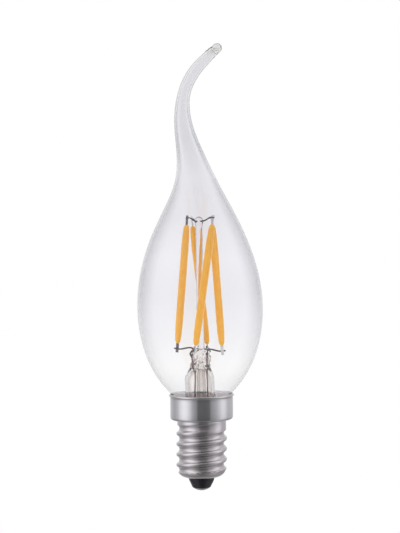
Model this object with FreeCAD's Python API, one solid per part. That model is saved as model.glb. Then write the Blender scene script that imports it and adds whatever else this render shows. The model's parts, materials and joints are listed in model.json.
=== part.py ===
"""Bent-tip candle bulb with four filament strips and a small screw cap.

Millimetres. The origin is the lowest point of the centre contact, +Z runs up the bulb's axis.
Seen from the front, which is the -Y side, the drawn tail leans to -X and its tip ends at +X.
"""

import FreeCAD, Part
import math
import os

V = FreeCAD.Vector
UP = V(0, 0, 1)
ORIGIN = V(0, 0, 0)

# Cap: one drawn shell with a wide collar and a rolled knuckle thread
CAP_HEIGHT = 25.4
COLLAR_DIAMETER = 17.0
COLLAR_LENGTH = 6.1
COLLAR_CORNER = 0.8
RIM_CORNER = 0.12
SHELL_WALL = 0.3
NECK_DIAMETER = 13.2
NECK_LENGTH = 3.0
THREAD_DIAMETER = 13.7
THREAD_PITCH = 2.822
THREAD_ARC = 0.822
THREAD_DROP = 0.75
THREAD_FADE = 1.9
SHELL_END_Z = 3.4
SHELL_END_RISE = 0.75
SHELL_END_CORNER = 1.1
SHELL_MOUTH_DIAMETER = 6.9

# Insulator and centre contact
INSULATOR_FOOT_DIAMETER = 4.9
INSULATOR_FOOT_Z = 0.75
INSULATOR_CORNER = 0.6
INSULATOR_FLANGE = 1.4
CONTACT_DIAMETER = 4.2
CONTACT_DOME = 0.6
CONTACT_STEM_DIAMETER = 1.4
CONTACT_STEM_LENGTH = 1.3

# Blown glass: height over the cap's rim, lean of the centre line to +X and outer radius at each station
GLASS_WALL = 0.6
TAIL_WALL = 0.5
GLASS_NECK_LIFT = 1.1
GLASS_NECK_LENGTH = 2.4
CEMENT_THICKNESS = 1.12
CEMENT_GAP = 0.08
CEMENT_DROP = 0.6
NECK_SPREAD = 0.45
BELLY_DIAMETER = 33.8
BELLY_RISE = 23.35
LOWER_RISES = ((3.25, 10.25), (10.55, 14.5))
UPPER_RISES = ((35.65, 15.2), (47.75, 10.45))
TAIL_RISES = (
    (53.45, -0.3, 7.67), (58.35, -0.84, 5.6), (63.75, -1.76, 4.0), (69.15, -3.0, 2.98), (73.45, -3.76, 2.43),
    (77.65, -3.93, 2.0), (81.45, -3.42, 1.72), (85.15, -1.97, 1.67), (88.35, 0.2, 1.62), (91.25, 3.05, 1.46),
    (93.05, 5.0, 1.3),
)
TIP_BEAD_DIAMETER = 2.7
TIP_BEAD_STEP = 0.7
TIP_SEAL_STATIONS = 1
TAIL_LEAD_IN = 0.01

# Stem: flared tube with a flat press, sealed to the glass neck
FLARE_TUBE_DIAMETER = 8.0
FLARE_WALL = 0.8
FLARE_RIM_THICKNESS = 0.6
FLARE_CLEARANCE = 0.25
FLARE_HEIGHT = 6.35
FLARE_TUBE_LENGTH = 4.8
PRESS_HEIGHT = 6.75
PRESS_DOME = 1.2
PRESS_WIDTH = 5.2
PRESS_THICKNESS = 2.8
EXHAUST_DIAMETER = 2.4
EXHAUST_BORE = 1.2
EXHAUST_DROP = 1.6
EXHAUST_HOLE_RISE = 2.4
POST_DIAMETER = 1.9
POST_OVERRUN = 0.6
POST_BEAD_DIAMETER = 2.4

# Filament strips: coated length between two metal end tabs
FILAMENT_DIAMETER = 2.0
FILAMENT_LENGTH = 32.5
FILAMENT_TAPER = 1.5
FILAMENT_END_DIAMETER = 0.9
TAB_WIDTH = 1.0
TAB_THICKNESS = 0.25
TAB_LENGTH = 2.5
TAB_HOLD = 1.4
HEAD_TAB_HOLD = 1.8
FOOT_CLEARANCE = 1.2
FOOT_CIRCLE = 12.3
FOOT_ANGLE = 165.4
FOOT_CENTRE_X = -0.27
HEAD_CIRCLE = 8.7
HEAD_ANGLE = 217.0
HEAD_CENTRE_X = 0.22
CROSS_SHIFT = 0.46
HEAD_CROSS_SHIFT = 0.7
PLACES = ("left", "rear", "right", "front")
FOOT_RISE = {"left": 0.3, "rear": -0.5, "right": -0.2, "front": 0.4}

# Wires
WIRE_DIAMETER = 0.5
UPPER_WIRE_DIAMETER = 0.4
WIRE_BEND = 0.5
WIRE_GAP = 0.05
WIRE_OVERRUN = 0.8
LEAD_SPREAD = 3.3
LEAD_PRESS_SPREAD = 3.2
LEAD_TURN_RISE = 0.6
ARM_RISE = 0.55
UPPER_WIRE_GAP = 0.8

# Driver board standing in the threaded part of the shell
BOARD_THICKNESS = 0.8
BOARD_FOOT_RISE = 2.8
BOARD_TOP_RISE = 1.3
BOARD_CLEARANCE = 0.2
PAD_LENGTH = 1.0
PART_LIFT = 0.1
CAPACITOR_DIAMETER = 4.0
CAPACITOR_LENGTH = 6.0
CAPACITOR_LIFT = 1.5
CAPACITOR_CRIMP = 0.25
CAPACITOR_LEAD_SPACING = 1.5
CAPACITOR_LEAD_DIAMETER = 0.45
RECTIFIER_SIZE = (3.8, 1.6, 2.6)
RECTIFIER_X = -2.4
RECTIFIER_LEG_SPACING = 2.5
CHIP_SIZE = (4.5, 1.5, 2.3)
CHIP_X = 2.35
CHIP_LEG_SPACING = 1.5
LEG_WIDTH = 0.6
LEG_THICKNESS = 0.2
LEG_REACH = 0.9
RESISTOR_SIZE = (1.6, 0.6, 3.2)
RESISTOR_X = 3.5
RESISTOR_LIFT = 4.4
RESISTOR_BAND = 0.5

# Cap values that follow from the sizes above
WIRE_R = WIRE_DIAMETER / 2
UPPER_WIRE_R = UPPER_WIRE_DIAMETER / 2
COLLAR_R = COLLAR_DIAMETER / 2
COLLAR_FOOT_Z = CAP_HEIGHT - COLLAR_LENGTH
NECK_R = NECK_DIAMETER / 2
NECK_FOOT_Z = COLLAR_FOOT_Z - NECK_LENGTH
CREST_R = THREAD_DIAMETER / 2
FLANK_ANGLE = math.asin(THREAD_PITCH / 4 / THREAD_ARC)
ROOT_R = CREST_R - 2 * THREAD_ARC * (1 - math.cos(FLANK_ANGLE))
MOUTH_R = SHELL_MOUTH_DIAMETER / 2
THREAD_CREST_Z = NECK_FOOT_Z - THREAD_DROP
THREAD_TURNS = math.ceil((NECK_FOOT_Z - SHELL_END_Z) / THREAD_PITCH)

# Glass values that follow, with the stations as heights over the contact
GLASS_NECK_R = COLLAR_R - SHELL_WALL - CEMENT_THICKNESS - CEMENT_GAP
GLASS_NECK_Z = COLLAR_FOOT_Z + GLASS_NECK_LIFT
CEMENT_TOP_Z = CAP_HEIGHT - CEMENT_DROP
CEMENT_TOP_R = GLASS_NECK_R + NECK_SPREAD
BODY_STATIONS = [(CEMENT_TOP_Z, CEMENT_TOP_R)] + [(CAP_HEIGHT + rise, r) for rise, r in LOWER_RISES]
BELLY_Z = CAP_HEIGHT + BELLY_RISE
UPPER_STATIONS = [(CAP_HEIGHT + rise, r) for rise, r in UPPER_RISES]
TAIL_STATIONS = [(CAP_HEIGHT + rise, lean, r) for rise, lean, r in TAIL_RISES]

# Stem and filament values that follow
FLARE_TUBE_R = FLARE_TUBE_DIAMETER / 2
FLARE_START_Z = GLASS_NECK_Z + FLARE_HEIGHT
PRESS_SHOULDER_Z = FLARE_START_Z + FLARE_TUBE_LENGTH
PRESS_FLOOR_Z = PRESS_SHOULDER_Z + PRESS_DOME
PRESS_TOP_Z = PRESS_SHOULDER_Z + PRESS_HEIGHT
EXHAUST_TIP_Z = GLASS_NECK_Z - EXHAUST_DROP
EXHAUST_HOLE_Z = PRESS_FLOOR_Z + EXHAUST_HOLE_RISE
FOOT_Z = PRESS_TOP_Z + FOOT_CLEARANCE
LEAD_TURN_Z = PRESS_TOP_Z + LEAD_TURN_RISE
POST_TOP_Z = FOOT_Z + FILAMENT_LENGTH + POST_OVERRUN

# Board values that follow
BOARD_FOOT_Z = SHELL_END_Z + BOARD_FOOT_RISE
BOARD_TOP_Z = NECK_FOOT_Z + BOARD_TOP_RISE
BOARD_MIDDLE_Z = (BOARD_FOOT_Z + BOARD_TOP_Z) / 2
BOARD_REAR_Y = -WIRE_R
BOARD_FRONT_Y = BOARD_REAR_Y - BOARD_THICKNESS
BOARD_HALF_WIDTH = math.sqrt((ROOT_R - SHELL_WALL - BOARD_CLEARANCE) ** 2 - BOARD_FRONT_Y ** 2)
CAPACITOR_FOOT_Z = BOARD_FOOT_Z + CAPACITOR_LIFT


def line(a, b):
    """A straight edge between two points of a profile, each (radius, height)."""
    return Part.makeLine(V(a[0], 0, a[1]), V(b[0], 0, b[1]))


def arc(a, middle, b):
    """A circular edge through three points of a profile."""
    return Part.Arc(V(a[0], 0, a[1]), V(middle[0], 0, middle[1]), V(b[0], 0, b[1])).toShape()


def corner_arc(a, corner, b):
    """A round corner from a to b, which lie equally far from the corner point."""
    middle = (V(a[0], 0, a[1]) + V(b[0], 0, b[1])) * 0.5
    point = V(corner[0], 0, corner[1])
    half_chord = (V(b[0], 0, b[1]) - middle).Length
    depth = (point - middle).Length
    reach = (point - V(a[0], 0, a[1])).Length
    radius = reach * half_chord / depth
    centre = point + (middle - point).normalize() * math.hypot(radius, reach)
    top = centre + (point - centre).normalize() * radius
    return Part.Arc(V(a[0], 0, a[1]), top, V(b[0], 0, b[1])).toShape()


def two_arcs(a, way_a, b, way_b):
    """Two arcs that run smoothly from a to b, leaving and arriving in the given directions."""
    chord = b - a
    ways = way_a + way_b
    bend = 2 * (1 - way_a.dot(way_b))
    reach = (math.sqrt(chord.dot(ways) ** 2 + bend * chord.dot(chord)) - chord.dot(ways)) / bend
    corner_a = a + way_a * reach
    corner_b = b - way_b * reach
    meet = (corner_a + corner_b) * 0.5
    return [corner_arc((p.x, p.z), (c.x, c.z), (q.x, q.z)) for p, c, q in ((a, corner_a, meet), (meet, corner_b, b))]


def rounded_profile(points):
    """A closed wire through (radius, height, corner radius) points, with tangent arcs at the corners."""
    count = len(points)
    cuts = []
    for i, (r, z, fillet) in enumerate(points):
        here = V(r, 0, z)
        before = V(points[i - 1][0], 0, points[i - 1][1]) - here
        after = V(points[(i + 1) % count][0], 0, points[(i + 1) % count][1]) - here
        back = fillet / math.tan(before.getAngle(after) / 2) if fillet else 0.0
        cuts.append((here + before.normalize() * back, here, here + after.normalize() * back, fillet))
    edges = []
    for i, (start, corner, end, fillet) in enumerate(cuts):
        if fillet:
            edges.append(corner_arc((start.x, start.z), (corner.x, corner.z), (end.x, end.z)))
        following = cuts[(i + 1) % count][0]
        if (following - end).Length > 1e-6:
            edges.append(Part.makeLine(end, following))
    return Part.Wire(edges)


def turned(wire):
    """The solid that a closed profile makes when it is turned about the axis."""
    return Part.Face(wire).revolve(ORIGIN, UP, 360)


def joined(solids):
    """Several touching solids as one."""
    whole = solids[0].multiFuse(solids[1:]).removeSplitter()
    return whole.Solids[0]


def box(centre, size):
    """A box by its centre and its (x, y, z) size."""
    corner = centre - V(size[0], size[1], size[2]) * 0.5
    return Part.makeBox(size[0], size[1], size[2], corner)


def rod(start, end, radius):
    """A round bar between two points."""
    return Part.makeCylinder(radius, (end - start).Length, start, end - start)


def bent_rod(points, radius, bend):
    """A round wire along straight runs joined by tangent arcs of one bend radius."""
    solids = []
    start = points[0]
    for before, corner, after in zip(points, points[1:], points[2:]):
        way_in = (corner - before).normalize()
        way_out = (after - corner).normalize()
        turn = way_in.getAngle(way_out)
        set_back = bend * math.tan(turn / 2)
        arc_start = corner - way_in * set_back
        axis = way_in.cross(way_out).normalize()
        centre = arc_start + axis.cross(way_in) * bend
        solids.append(rod(start, arc_start, radius))
        disc = Part.Face(Part.Wire(Part.Edge(Part.Circle(arc_start, way_in, radius))))
        solids.append(disc.revolve(centre, axis, math.degrees(turn)))
        start = corner + way_out * set_back
    solids.append(rod(start, points[-1], radius))
    return joined(solids) if len(solids) > 1 else solids[0]


def shell_outline(inset):
    """The cap shell's turned blank, closed to the axis, drawn in by inset from its outer face."""
    end_slope = math.atan2(SHELL_END_RISE, ROOT_R - MOUTH_R)
    drop = inset / math.cos(end_slope)
    shoulder_z = COLLAR_FOOT_Z + inset
    outer_corner = min(COLLAR_CORNER, (COLLAR_R - NECK_R) * 0.9)
    inner_corner = max(outer_corner - inset, 0.1)
    end_corner = max(SHELL_END_CORNER - inset, 0.1)
    end_z = SHELL_END_Z + drop
    slope = math.tan(end_slope)
    return rounded_profile((
        (0, end_z - slope * MOUTH_R, 0),
        (ROOT_R - inset, end_z + slope * (ROOT_R - inset - MOUTH_R), end_corner),
        (ROOT_R - inset, NECK_FOOT_Z, 0),
        (NECK_R - inset, NECK_FOOT_Z + (NECK_R - ROOT_R), 0),
        (NECK_R - inset, shoulder_z, 0),
        (COLLAR_R - inset, shoulder_z, inner_corner if inset else outer_corner),
        (COLLAR_R - inset, CAP_HEIGHT, 0 if inset else RIM_CORNER),
        (0, CAP_HEIGHT, 0),
    ))


def knuckle_section(inset):
    """One thread ridge: a crest arc between two root arcs that dip just under the root surface."""
    crest_arc = THREAD_ARC - inset
    root_arc = THREAD_ARC + inset
    crest_centre = CREST_R - THREAD_ARC
    root_centre = ROOT_R + THREAD_ARC
    half = THREAD_PITCH / 2
    rest = math.radians(14)

    def on_crest(angle):
        return V(crest_centre + crest_arc * math.cos(angle), 0, crest_arc * math.sin(angle))

    def on_root(side, angle):
        return V(root_centre - root_arc * math.cos(angle), 0, side * (half - root_arc * math.sin(angle)))

    crest = Part.Arc(on_crest(-FLANK_ANGLE), on_crest(0), on_crest(FLANK_ANGLE)).toShape()
    roots = [
        Part.Arc(on_root(side, rest), on_root(side, (rest + FLANK_ANGLE) / 2), on_root(side, FLANK_ANGLE)).toShape()
        for side in (-1, 1)
    ]
    low, high = on_root(-1, rest), on_root(1, rest)
    inside = ROOT_R - inset - SHELL_WALL / 2
    sides = [
        Part.makeLine(low, V(inside, 0, low.z)),
        Part.makeLine(V(inside, 0, low.z), V(inside, 0, high.z)),
        Part.makeLine(V(inside, 0, high.z), high),
    ]
    return Part.Wire(Part.__sortEdges__([roots[0], crest, roots[1]] + sides))


def thread_ridge(inset):
    """The rolled ridge as a right-hand helix, planed away at both ends so that it fades into the shell."""
    height = THREAD_PITCH * THREAD_TURNS
    start_z = THREAD_CREST_Z + THREAD_PITCH / 2 - height
    helix = Part.makeHelix(THREAD_PITCH, height, CREST_R)
    sweep = Part.BRepOffsetAPI.MakePipeShell(Part.Wire(helix.Edges))
    sweep.setFrenetMode(True)
    sweep.add(knuckle_section(inset))
    sweep.build()
    sweep.makeSolid()
    ridge = sweep.shape()
    ridge.translate(V(0, 0, start_z))
    sunk = ROOT_R - inset - SHELL_WALL
    proud = CREST_R - inset + SHELL_WALL
    top = NECK_FOOT_Z + THREAD_PITCH / 4
    bottom = SHELL_END_Z + SHELL_END_RISE
    limit = rounded_profile((
        (0, bottom, 0),
        (sunk, bottom, 0),
        (proud, bottom + THREAD_FADE, 0),
        (proud, top - THREAD_FADE, 0),
        (sunk, top, 0),
        (0, top, 0),
    ))
    return ridge.common(turned(limit)).Solids[0]


def cap_body(inset):
    """The filled form of the cap at a depth of inset under its outer face."""
    return joined([turned(shell_outline(inset)), thread_ridge(inset)])


def make_cap_shell():
    """The drawn shell: its inside follows the collar, the neck and the thread."""
    mouth = Part.makeCylinder(MOUTH_R, SHELL_END_Z + SHELL_END_RISE + SHELL_WALL)
    lid = Part.makeCylinder(COLLAR_R - SHELL_WALL, SHELL_WALL, V(0, 0, CAP_HEIGHT))
    return cap_body(0).cut(cap_body(SHELL_WALL)).cut(mouth).cut(lid).Solids[0]


def make_insulator():
    """The black glass plug that fills the shell's mouth and lies on the inside of its rounded end."""
    foot_r = INSULATOR_FOOT_DIAMETER / 2
    stem_r = CONTACT_STEM_DIAMETER / 2
    plug = turned(rounded_profile((
        (stem_r, INSULATOR_FOOT_Z, 0),
        (foot_r, INSULATOR_FOOT_Z, INSULATOR_CORNER),
        (MOUTH_R, SHELL_END_Z, 0),
        (MOUTH_R, SHELL_END_Z + SHELL_WALL + INSULATOR_FLANGE, 0),
        (stem_r, SHELL_END_Z + SHELL_WALL + INSULATOR_FLANGE, 0),
    )))
    top_z = SHELL_END_Z + SHELL_WALL + INSULATOR_FLANGE
    flange = turned(shell_outline(SHELL_WALL)).common(Part.makeCylinder(ROOT_R, top_z))
    flange = flange.cut(Part.makeCylinder(stem_r, top_z))
    return joined([plug, flange])


def make_centre_contact():
    """The domed contact button with the stem that holds it in the insulator."""
    rim_r = CONTACT_DIAMETER / 2
    stem_r = CONTACT_STEM_DIAMETER / 2
    stem_top = INSULATOR_FOOT_Z + CONTACT_STEM_LENGTH
    dome_r = (rim_r ** 2 + CONTACT_DOME ** 2) / (2 * CONTACT_DOME)
    half_turn = math.asin(rim_r / dome_r) / 2
    edges = [
        arc((0, 0), (dome_r * math.sin(half_turn), dome_r * (1 - math.cos(half_turn))), (rim_r, CONTACT_DOME)),
        line((rim_r, CONTACT_DOME), (rim_r, INSULATOR_FOOT_Z)),
        line((rim_r, INSULATOR_FOOT_Z), (stem_r, INSULATOR_FOOT_Z)),
        line((stem_r, INSULATOR_FOOT_Z), (stem_r, stem_top)),
        line((stem_r, stem_top), (0, stem_top)),
        line((0, stem_top), (0, 0)),
    ]
    return turned(Part.Wire(edges))


def upright_points():
    """The blown body's outer radius and height where its centre line is still the bulb's axis."""
    neck_top = V(GLASS_NECK_R, 0, GLASS_NECK_Z + GLASS_NECK_LENGTH)
    body = [V(r, 0, z) for z, r in BODY_STATIONS]
    belly = V(BELLY_DIAMETER / 2, 0, BELLY_Z)
    return [neck_top] + body + [belly] + [V(r, 0, z) for z, r in UPPER_STATIONS]


def glass_spread():
    """The outer radius of the glass against height, from the top of its straight neck to the tip."""
    points = upright_points() + [V(r, 0, z) for z, _, r in TAIL_STATIONS]
    curve = Part.BSplineCurve()
    curve.interpolate(Points=points, InitialTangent=UP, FinalTangent=(points[-1] - points[-2]).normalize())
    return curve


def inner_radius(spread, z, r):
    """The radius of the hollow level with a point of the outer skin."""
    if z > UPPER_STATIONS[-1][0]:
        share = min(1, (z - UPPER_STATIONS[-1][0]) / (TAIL_STATIONS[1][0] - UPPER_STATIONS[-1][0]))
    else:
        share = 0
    wall = GLASS_WALL + (TAIL_WALL - GLASS_WALL) * share
    heading = spread.tangent(spread.parameter(V(r, 0, z)))[0]
    return r - wall / abs(heading.z)


def body_arcs(spread, hollow):
    """Tangent arcs through the body's points, for its skin or its hollow, with its lower and upper end."""
    points = upright_points()
    ways = [spread.tangent(spread.parameter(p))[0] for p in points]
    if hollow:
        points = [V(inner_radius(spread, p.z, p.x), 0, p.z) for p in points]
    arcs = []
    for low, high, way_low, way_high in zip(points, points[1:], ways, ways[1:]):
        arcs += two_arcs(low, way_low, high, way_high)
    return arcs, points[0], points[-1]


def make_glass_body(spread):
    """The neck and the belly, turned about the axis up to where the tail starts to lean."""
    outer, outer_low, outer_high = body_arcs(spread, False)
    inner, inner_low, inner_high = body_arcs(spread, True)
    outer_foot = V(outer_low.x, 0, GLASS_NECK_Z)
    inner_foot = V(inner_low.x, 0, GLASS_NECK_Z)
    ends = [
        Part.makeLine(outer_foot, outer_low),
        Part.makeLine(outer_high, inner_high),
        Part.makeLine(inner_low, inner_foot),
        Part.makeLine(inner_foot, outer_foot),
    ]
    return turned(Part.Wire(Part.__sortEdges__(outer + inner + ends)))


def tail_sections(spread, hollow):
    """Round sections square to the tail's bent centre line, of its skin or of its hollow."""
    joint_z, joint_r = UPPER_STATIONS[-1]
    start = spread.value(spread.parameter(V(joint_r, 0, joint_z)) + TAIL_LEAD_IN)
    stations = [(joint_z, 0, joint_r), (start.z, 0, start.x)] + list(TAIL_STATIONS)
    centres = [V(lean, 0, z) for z, lean, _ in stations]
    heading = (centres[-1] - centres[-2]).normalize()
    centre_line = Part.BSplineCurve()
    centre_line.interpolate(Points=centres, InitialTangent=UP, FinalTangent=heading)
    sections = []
    for centre, (z, _, r) in zip(centres, stations):
        way = centre_line.tangent(centre_line.parameter(centre))[0]
        radius = inner_radius(spread, z, r) if hollow else r
        section = Part.Wire(Part.Edge(Part.Circle(ORIGIN, UP, radius)))
        turn = FreeCAD.Rotation(V(0, 1, 0), math.degrees(math.atan2(way.x, way.z)))
        section.Placement = FreeCAD.Placement(centre, turn)
        sections.append(section)
    return sections[:-TIP_SEAL_STATIONS] if hollow else sections


def make_glass_envelope():
    """The blown bulb with its drawn, bent and sealed tail, open at the neck."""
    spread = glass_spread()
    skin = Part.makeLoft(tail_sections(spread, False), True, False)
    hollow = Part.makeLoft(tail_sections(spread, True), True, False)
    (z0, x0, _), (z1, x1, _) = TAIL_STATIONS[-2:]
    heading = V(x1 - x0, 0, z1 - z0).normalize()
    bead = Part.makeSphere(TIP_BEAD_DIAMETER / 2, V(x1, 0, z1) + heading * TIP_BEAD_STEP)
    tail = skin.fuse(bead).cut(hollow).Solids[0]
    return joined([make_glass_body(spread), tail])


def make_basing_cement():
    """The ring of cement between the glass neck and the collar, which follows the glass as it widens."""
    outer = COLLAR_R - SHELL_WALL
    return turned(rounded_profile((
        (GLASS_NECK_R + CEMENT_GAP, GLASS_NECK_Z, 0),
        (outer, GLASS_NECK_Z, 0),
        (outer, CEMENT_TOP_Z, 0),
        (CEMENT_TOP_R + CEMENT_GAP, CEMENT_TOP_Z, 0),
        (GLASS_NECK_R + CEMENT_GAP, GLASS_NECK_Z + GLASS_NECK_LENGTH, 0),
    )))


def ellipse_wire(half_x, half_y, z):
    """A level ellipse, or a circle where both halves are equal."""
    if abs(half_x - half_y) < 1e-9:
        return Part.Wire(Part.Edge(Part.Circle(V(0, 0, z), UP, half_x)))
    return Part.Wire(Part.Edge(Part.Ellipse(V(half_x, 0, z), V(0, half_y, z), V(0, 0, z))))


def make_stem_flare(wires):
    """The flared stem tube, closed above by the flat press that grips the lead wires."""
    rim_z = GLASS_NECK_Z - FLARE_RIM_THICKNESS
    bell_r = GLASS_NECK_R - GLASS_WALL - FLARE_CLEARANCE
    inner_r = FLARE_TUBE_R - FLARE_WALL
    outer_bell = arc(
        (FLARE_TUBE_R, FLARE_START_Z),
        (FLARE_TUBE_R + (bell_r - FLARE_TUBE_R) * 0.3, (FLARE_START_Z + GLASS_NECK_Z) / 2),
        (bell_r, GLASS_NECK_Z),
    )
    inner_bell = arc(
        (bell_r - FLARE_WALL, rim_z),
        (inner_r + (bell_r - FLARE_TUBE_R) * 0.3, (FLARE_START_Z + GLASS_NECK_Z) / 2 - FLARE_WALL / 2),
        (inner_r, FLARE_START_Z),
    )
    tube = turned(Part.Wire([
        line((inner_r, PRESS_SHOULDER_Z), (FLARE_TUBE_R, PRESS_SHOULDER_Z)),
        line((FLARE_TUBE_R, PRESS_SHOULDER_Z), (FLARE_TUBE_R, FLARE_START_Z)),
        outer_bell,
        line((bell_r, GLASS_NECK_Z), (GLASS_NECK_R, GLASS_NECK_Z)),
        line((GLASS_NECK_R, GLASS_NECK_Z), (GLASS_NECK_R, rim_z)),
        line((GLASS_NECK_R, rim_z), (bell_r - FLARE_WALL, rim_z)),
        inner_bell,
        line((inner_r, FLARE_START_Z), (inner_r, PRESS_SHOULDER_Z)),
    ]))
    half_w, half_t = PRESS_WIDTH / 2, PRESS_THICKNESS / 2
    climb = PRESS_TOP_Z - PRESS_SHOULDER_Z
    press = Part.makeLoft([
        ellipse_wire(FLARE_TUBE_R, FLARE_TUBE_R, PRESS_SHOULDER_Z),
        ellipse_wire(FLARE_TUBE_R * 0.94, FLARE_TUBE_R * 0.88, PRESS_SHOULDER_Z + climb * 0.12),
        ellipse_wire(half_w * 1.06, half_t * 1.3, PRESS_SHOULDER_Z + climb * 0.36),
        ellipse_wire(half_w, half_t, PRESS_SHOULDER_Z + climb * 0.6),
        ellipse_wire(half_w * 0.97, half_t * 0.9, PRESS_TOP_Z),
    ], True, False)
    dome = Part.makeCone(inner_r, EXHAUST_DIAMETER / 2, PRESS_FLOOR_Z - PRESS_SHOULDER_Z, V(0, 0, PRESS_SHOULDER_Z))
    vent = Part.makeCylinder(EXHAUST_BORE / 2, EXHAUST_HOLE_Z - PRESS_FLOOR_Z, V(0, 0, PRESS_FLOOR_Z))
    side_hole = Part.makeCylinder(EXHAUST_BORE / 2, FLARE_TUBE_R, V(0, 0, EXHAUST_HOLE_Z), V(0, 1, 0))
    stem = joined([tube, press]).cut(dome).cut(vent.fuse(side_hole))
    for wire in wires:
        stem = stem.cut(wire)
    return stem.Solids[0]


def make_exhaust_tube():
    """The narrow tube through which the bulb was pumped out and filled, melted shut at its lower end."""
    outer, bore = EXHAUST_DIAMETER / 2, EXHAUST_BORE / 2
    shut = EXHAUST_TIP_Z + EXHAUST_DIAMETER
    return turned(rounded_profile((
        (0, EXHAUST_TIP_Z, 0),
        (bore / 2, EXHAUST_TIP_Z, 0),
        (outer, shut - bore, bore),
        (outer, PRESS_FLOOR_Z, 0),
        (bore, PRESS_FLOOR_Z, 0),
        (bore, shut, 0),
        (bore / 2, shut - bore, 0),
        (0, shut - bore, 0),
    )))


def make_centre_post(wires):
    """The glass rod on the press, with the bead that grips the two upper wires."""
    rod_part = Part.makeCylinder(POST_DIAMETER / 2, POST_TOP_Z - PRESS_TOP_Z, V(0, 0, PRESS_TOP_Z))
    bead = Part.makeSphere(POST_BEAD_DIAMETER / 2, V(0, 0, POST_TOP_Z))
    post = joined([rod_part, bead])
    for wire in wires:
        post = post.cut(wire)
    return max(post.Solids, key=lambda s: s.Volume)


def upper_corner(side):
    """Where an upper wire turns inside the post's bead."""
    return V(side * UPPER_WIRE_GAP / 2, 0, POST_TOP_Z)


def lead_corner(side):
    """Where a lead wire turns outwards above the press."""
    return V(side * LEAD_PRESS_SPREAD / 2, 0, LEAD_TURN_Z)


def arm_start(side):
    """Where a short arm wire starts beside a lead, at the front on the left and at the rear on the right."""
    return V(side * LEAD_PRESS_SPREAD / 2, side * (WIRE_R + WIRE_GAP), PRESS_TOP_Z + ARM_RISE)


# For each strip, at its head and at its foot: the point its wire comes from, and which face of the tab it lies on
HEAD_WIRES = {
    "left": (upper_corner(-1), 1),
    "rear": (upper_corner(-1), -1),
    "right": (upper_corner(1), 1),
    "front": (upper_corner(1), -1),
}
FOOT_WIRES = {
    "left": (lead_corner(-1), 1),
    "rear": (arm_start(1), -1),
    "right": (lead_corner(1), 1),
    "front": (arm_start(-1), -1),
}


class Strip:
    """Where one filament strip stands: its foot, its head, its direction and the tabs at its ends."""

    def __init__(self, index):
        place = PLACES[index]
        crossed = index % 2
        foot_turn = math.radians(FOOT_ANGLE - 90 * index)
        head_turn = math.radians(HEAD_ANGLE - 90 * index)
        foot_x = FOOT_CIRCLE / 2 * math.cos(foot_turn) + FOOT_CENTRE_X + CROSS_SHIFT * crossed
        foot_y = FOOT_CIRCLE / 2 * math.sin(foot_turn)
        head_x = HEAD_CIRCLE / 2 * math.cos(head_turn) + HEAD_CENTRE_X + HEAD_CROSS_SHIFT * crossed
        head_y = HEAD_CIRCLE / 2 * math.sin(head_turn)
        run = math.hypot(head_x - foot_x, head_y - foot_y)
        rise = math.sqrt(FILAMENT_LENGTH ** 2 - run ** 2)
        self.place = place
        self.foot = V(foot_x, foot_y, FOOT_Z + FOOT_RISE[place])
        self.head = self.foot + V(head_x - foot_x, head_y - foot_y, rise)
        self.way = (self.head - self.foot).normalize()

    def hold(self, at_head):
        """The middle of the place on the tab where its wire is welded."""
        return self.head + self.way * HEAD_TAB_HOLD if at_head else self.foot - self.way * TAB_HOLD

    def lift(self, at_head):
        """How far the wire's centre line lies from the middle of the tab that it is welded to."""
        return TAB_THICKNESS / 2 + (UPPER_WIRE_R if at_head else WIRE_R)

    def tab_axes(self, at_head):
        """The tab's directions outwards and through its thickness, turned so that its wire lies flat on it."""
        corner, face = (HEAD_WIRES if at_head else FOOT_WIRES)[self.place]
        reach = self.hold(at_head) - corner
        level = reach - self.way * reach.dot(self.way)
        turn = face * math.asin(self.lift(at_head) / level.Length)
        direct = level.normalize()
        outward = direct * math.cos(turn) + self.way.cross(direct) * math.sin(turn)
        return outward, self.way.cross(outward)

    def weld_point(self, at_head):
        """The end of the centre line of the wire that lies on this tab."""
        face = (HEAD_WIRES if at_head else FOOT_WIRES)[self.place][1]
        outward, across = self.tab_axes(at_head)
        return self.hold(at_head) + across * (face * self.lift(at_head)) + outward * WIRE_OVERRUN


def make_filament(strip):
    """The coated strip, drawn in at both ends."""
    full, end = FILAMENT_DIAMETER / 2, FILAMENT_END_DIAMETER / 2
    waist = (full * 0.86, FILAMENT_TAPER * 0.35)
    body = turned(Part.Wire([
        line((0, 0), (end, 0)),
        arc((end, 0), waist, (full, FILAMENT_TAPER)),
        line((full, FILAMENT_TAPER), (full, FILAMENT_LENGTH - FILAMENT_TAPER)),
        arc((full, FILAMENT_LENGTH - FILAMENT_TAPER), (waist[0], FILAMENT_LENGTH - waist[1]), (end, FILAMENT_LENGTH)),
        line((end, FILAMENT_LENGTH), (0, FILAMENT_LENGTH)),
        line((0, FILAMENT_LENGTH), (0, 0)),
    ]))
    body.Placement = FreeCAD.Placement(strip.foot, FreeCAD.Rotation(UP, strip.way))
    return body


def make_tab(strip, at_head):
    """The flat metal strip that comes out of one end of the coating."""
    start = 0 if at_head else -TAB_LENGTH
    tab = Part.makeBox(TAB_WIDTH, TAB_THICKNESS, TAB_LENGTH, V(-TAB_WIDTH / 2, -TAB_THICKNESS / 2, start))
    outward, across = strip.tab_axes(at_head)
    turn = FreeCAD.Rotation(outward, across, strip.way, "ZXY")
    tab.Placement = FreeCAD.Placement(strip.head if at_head else strip.foot, turn)
    return tab


def make_upper_wire(first, second, side):
    """A wire held in the post's bead that joins the heads of two neighbouring strips."""
    points = [first.weld_point(True), upper_corner(side), second.weld_point(True)]
    return bent_rod(points, UPPER_WIRE_R, WIRE_BEND)


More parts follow.
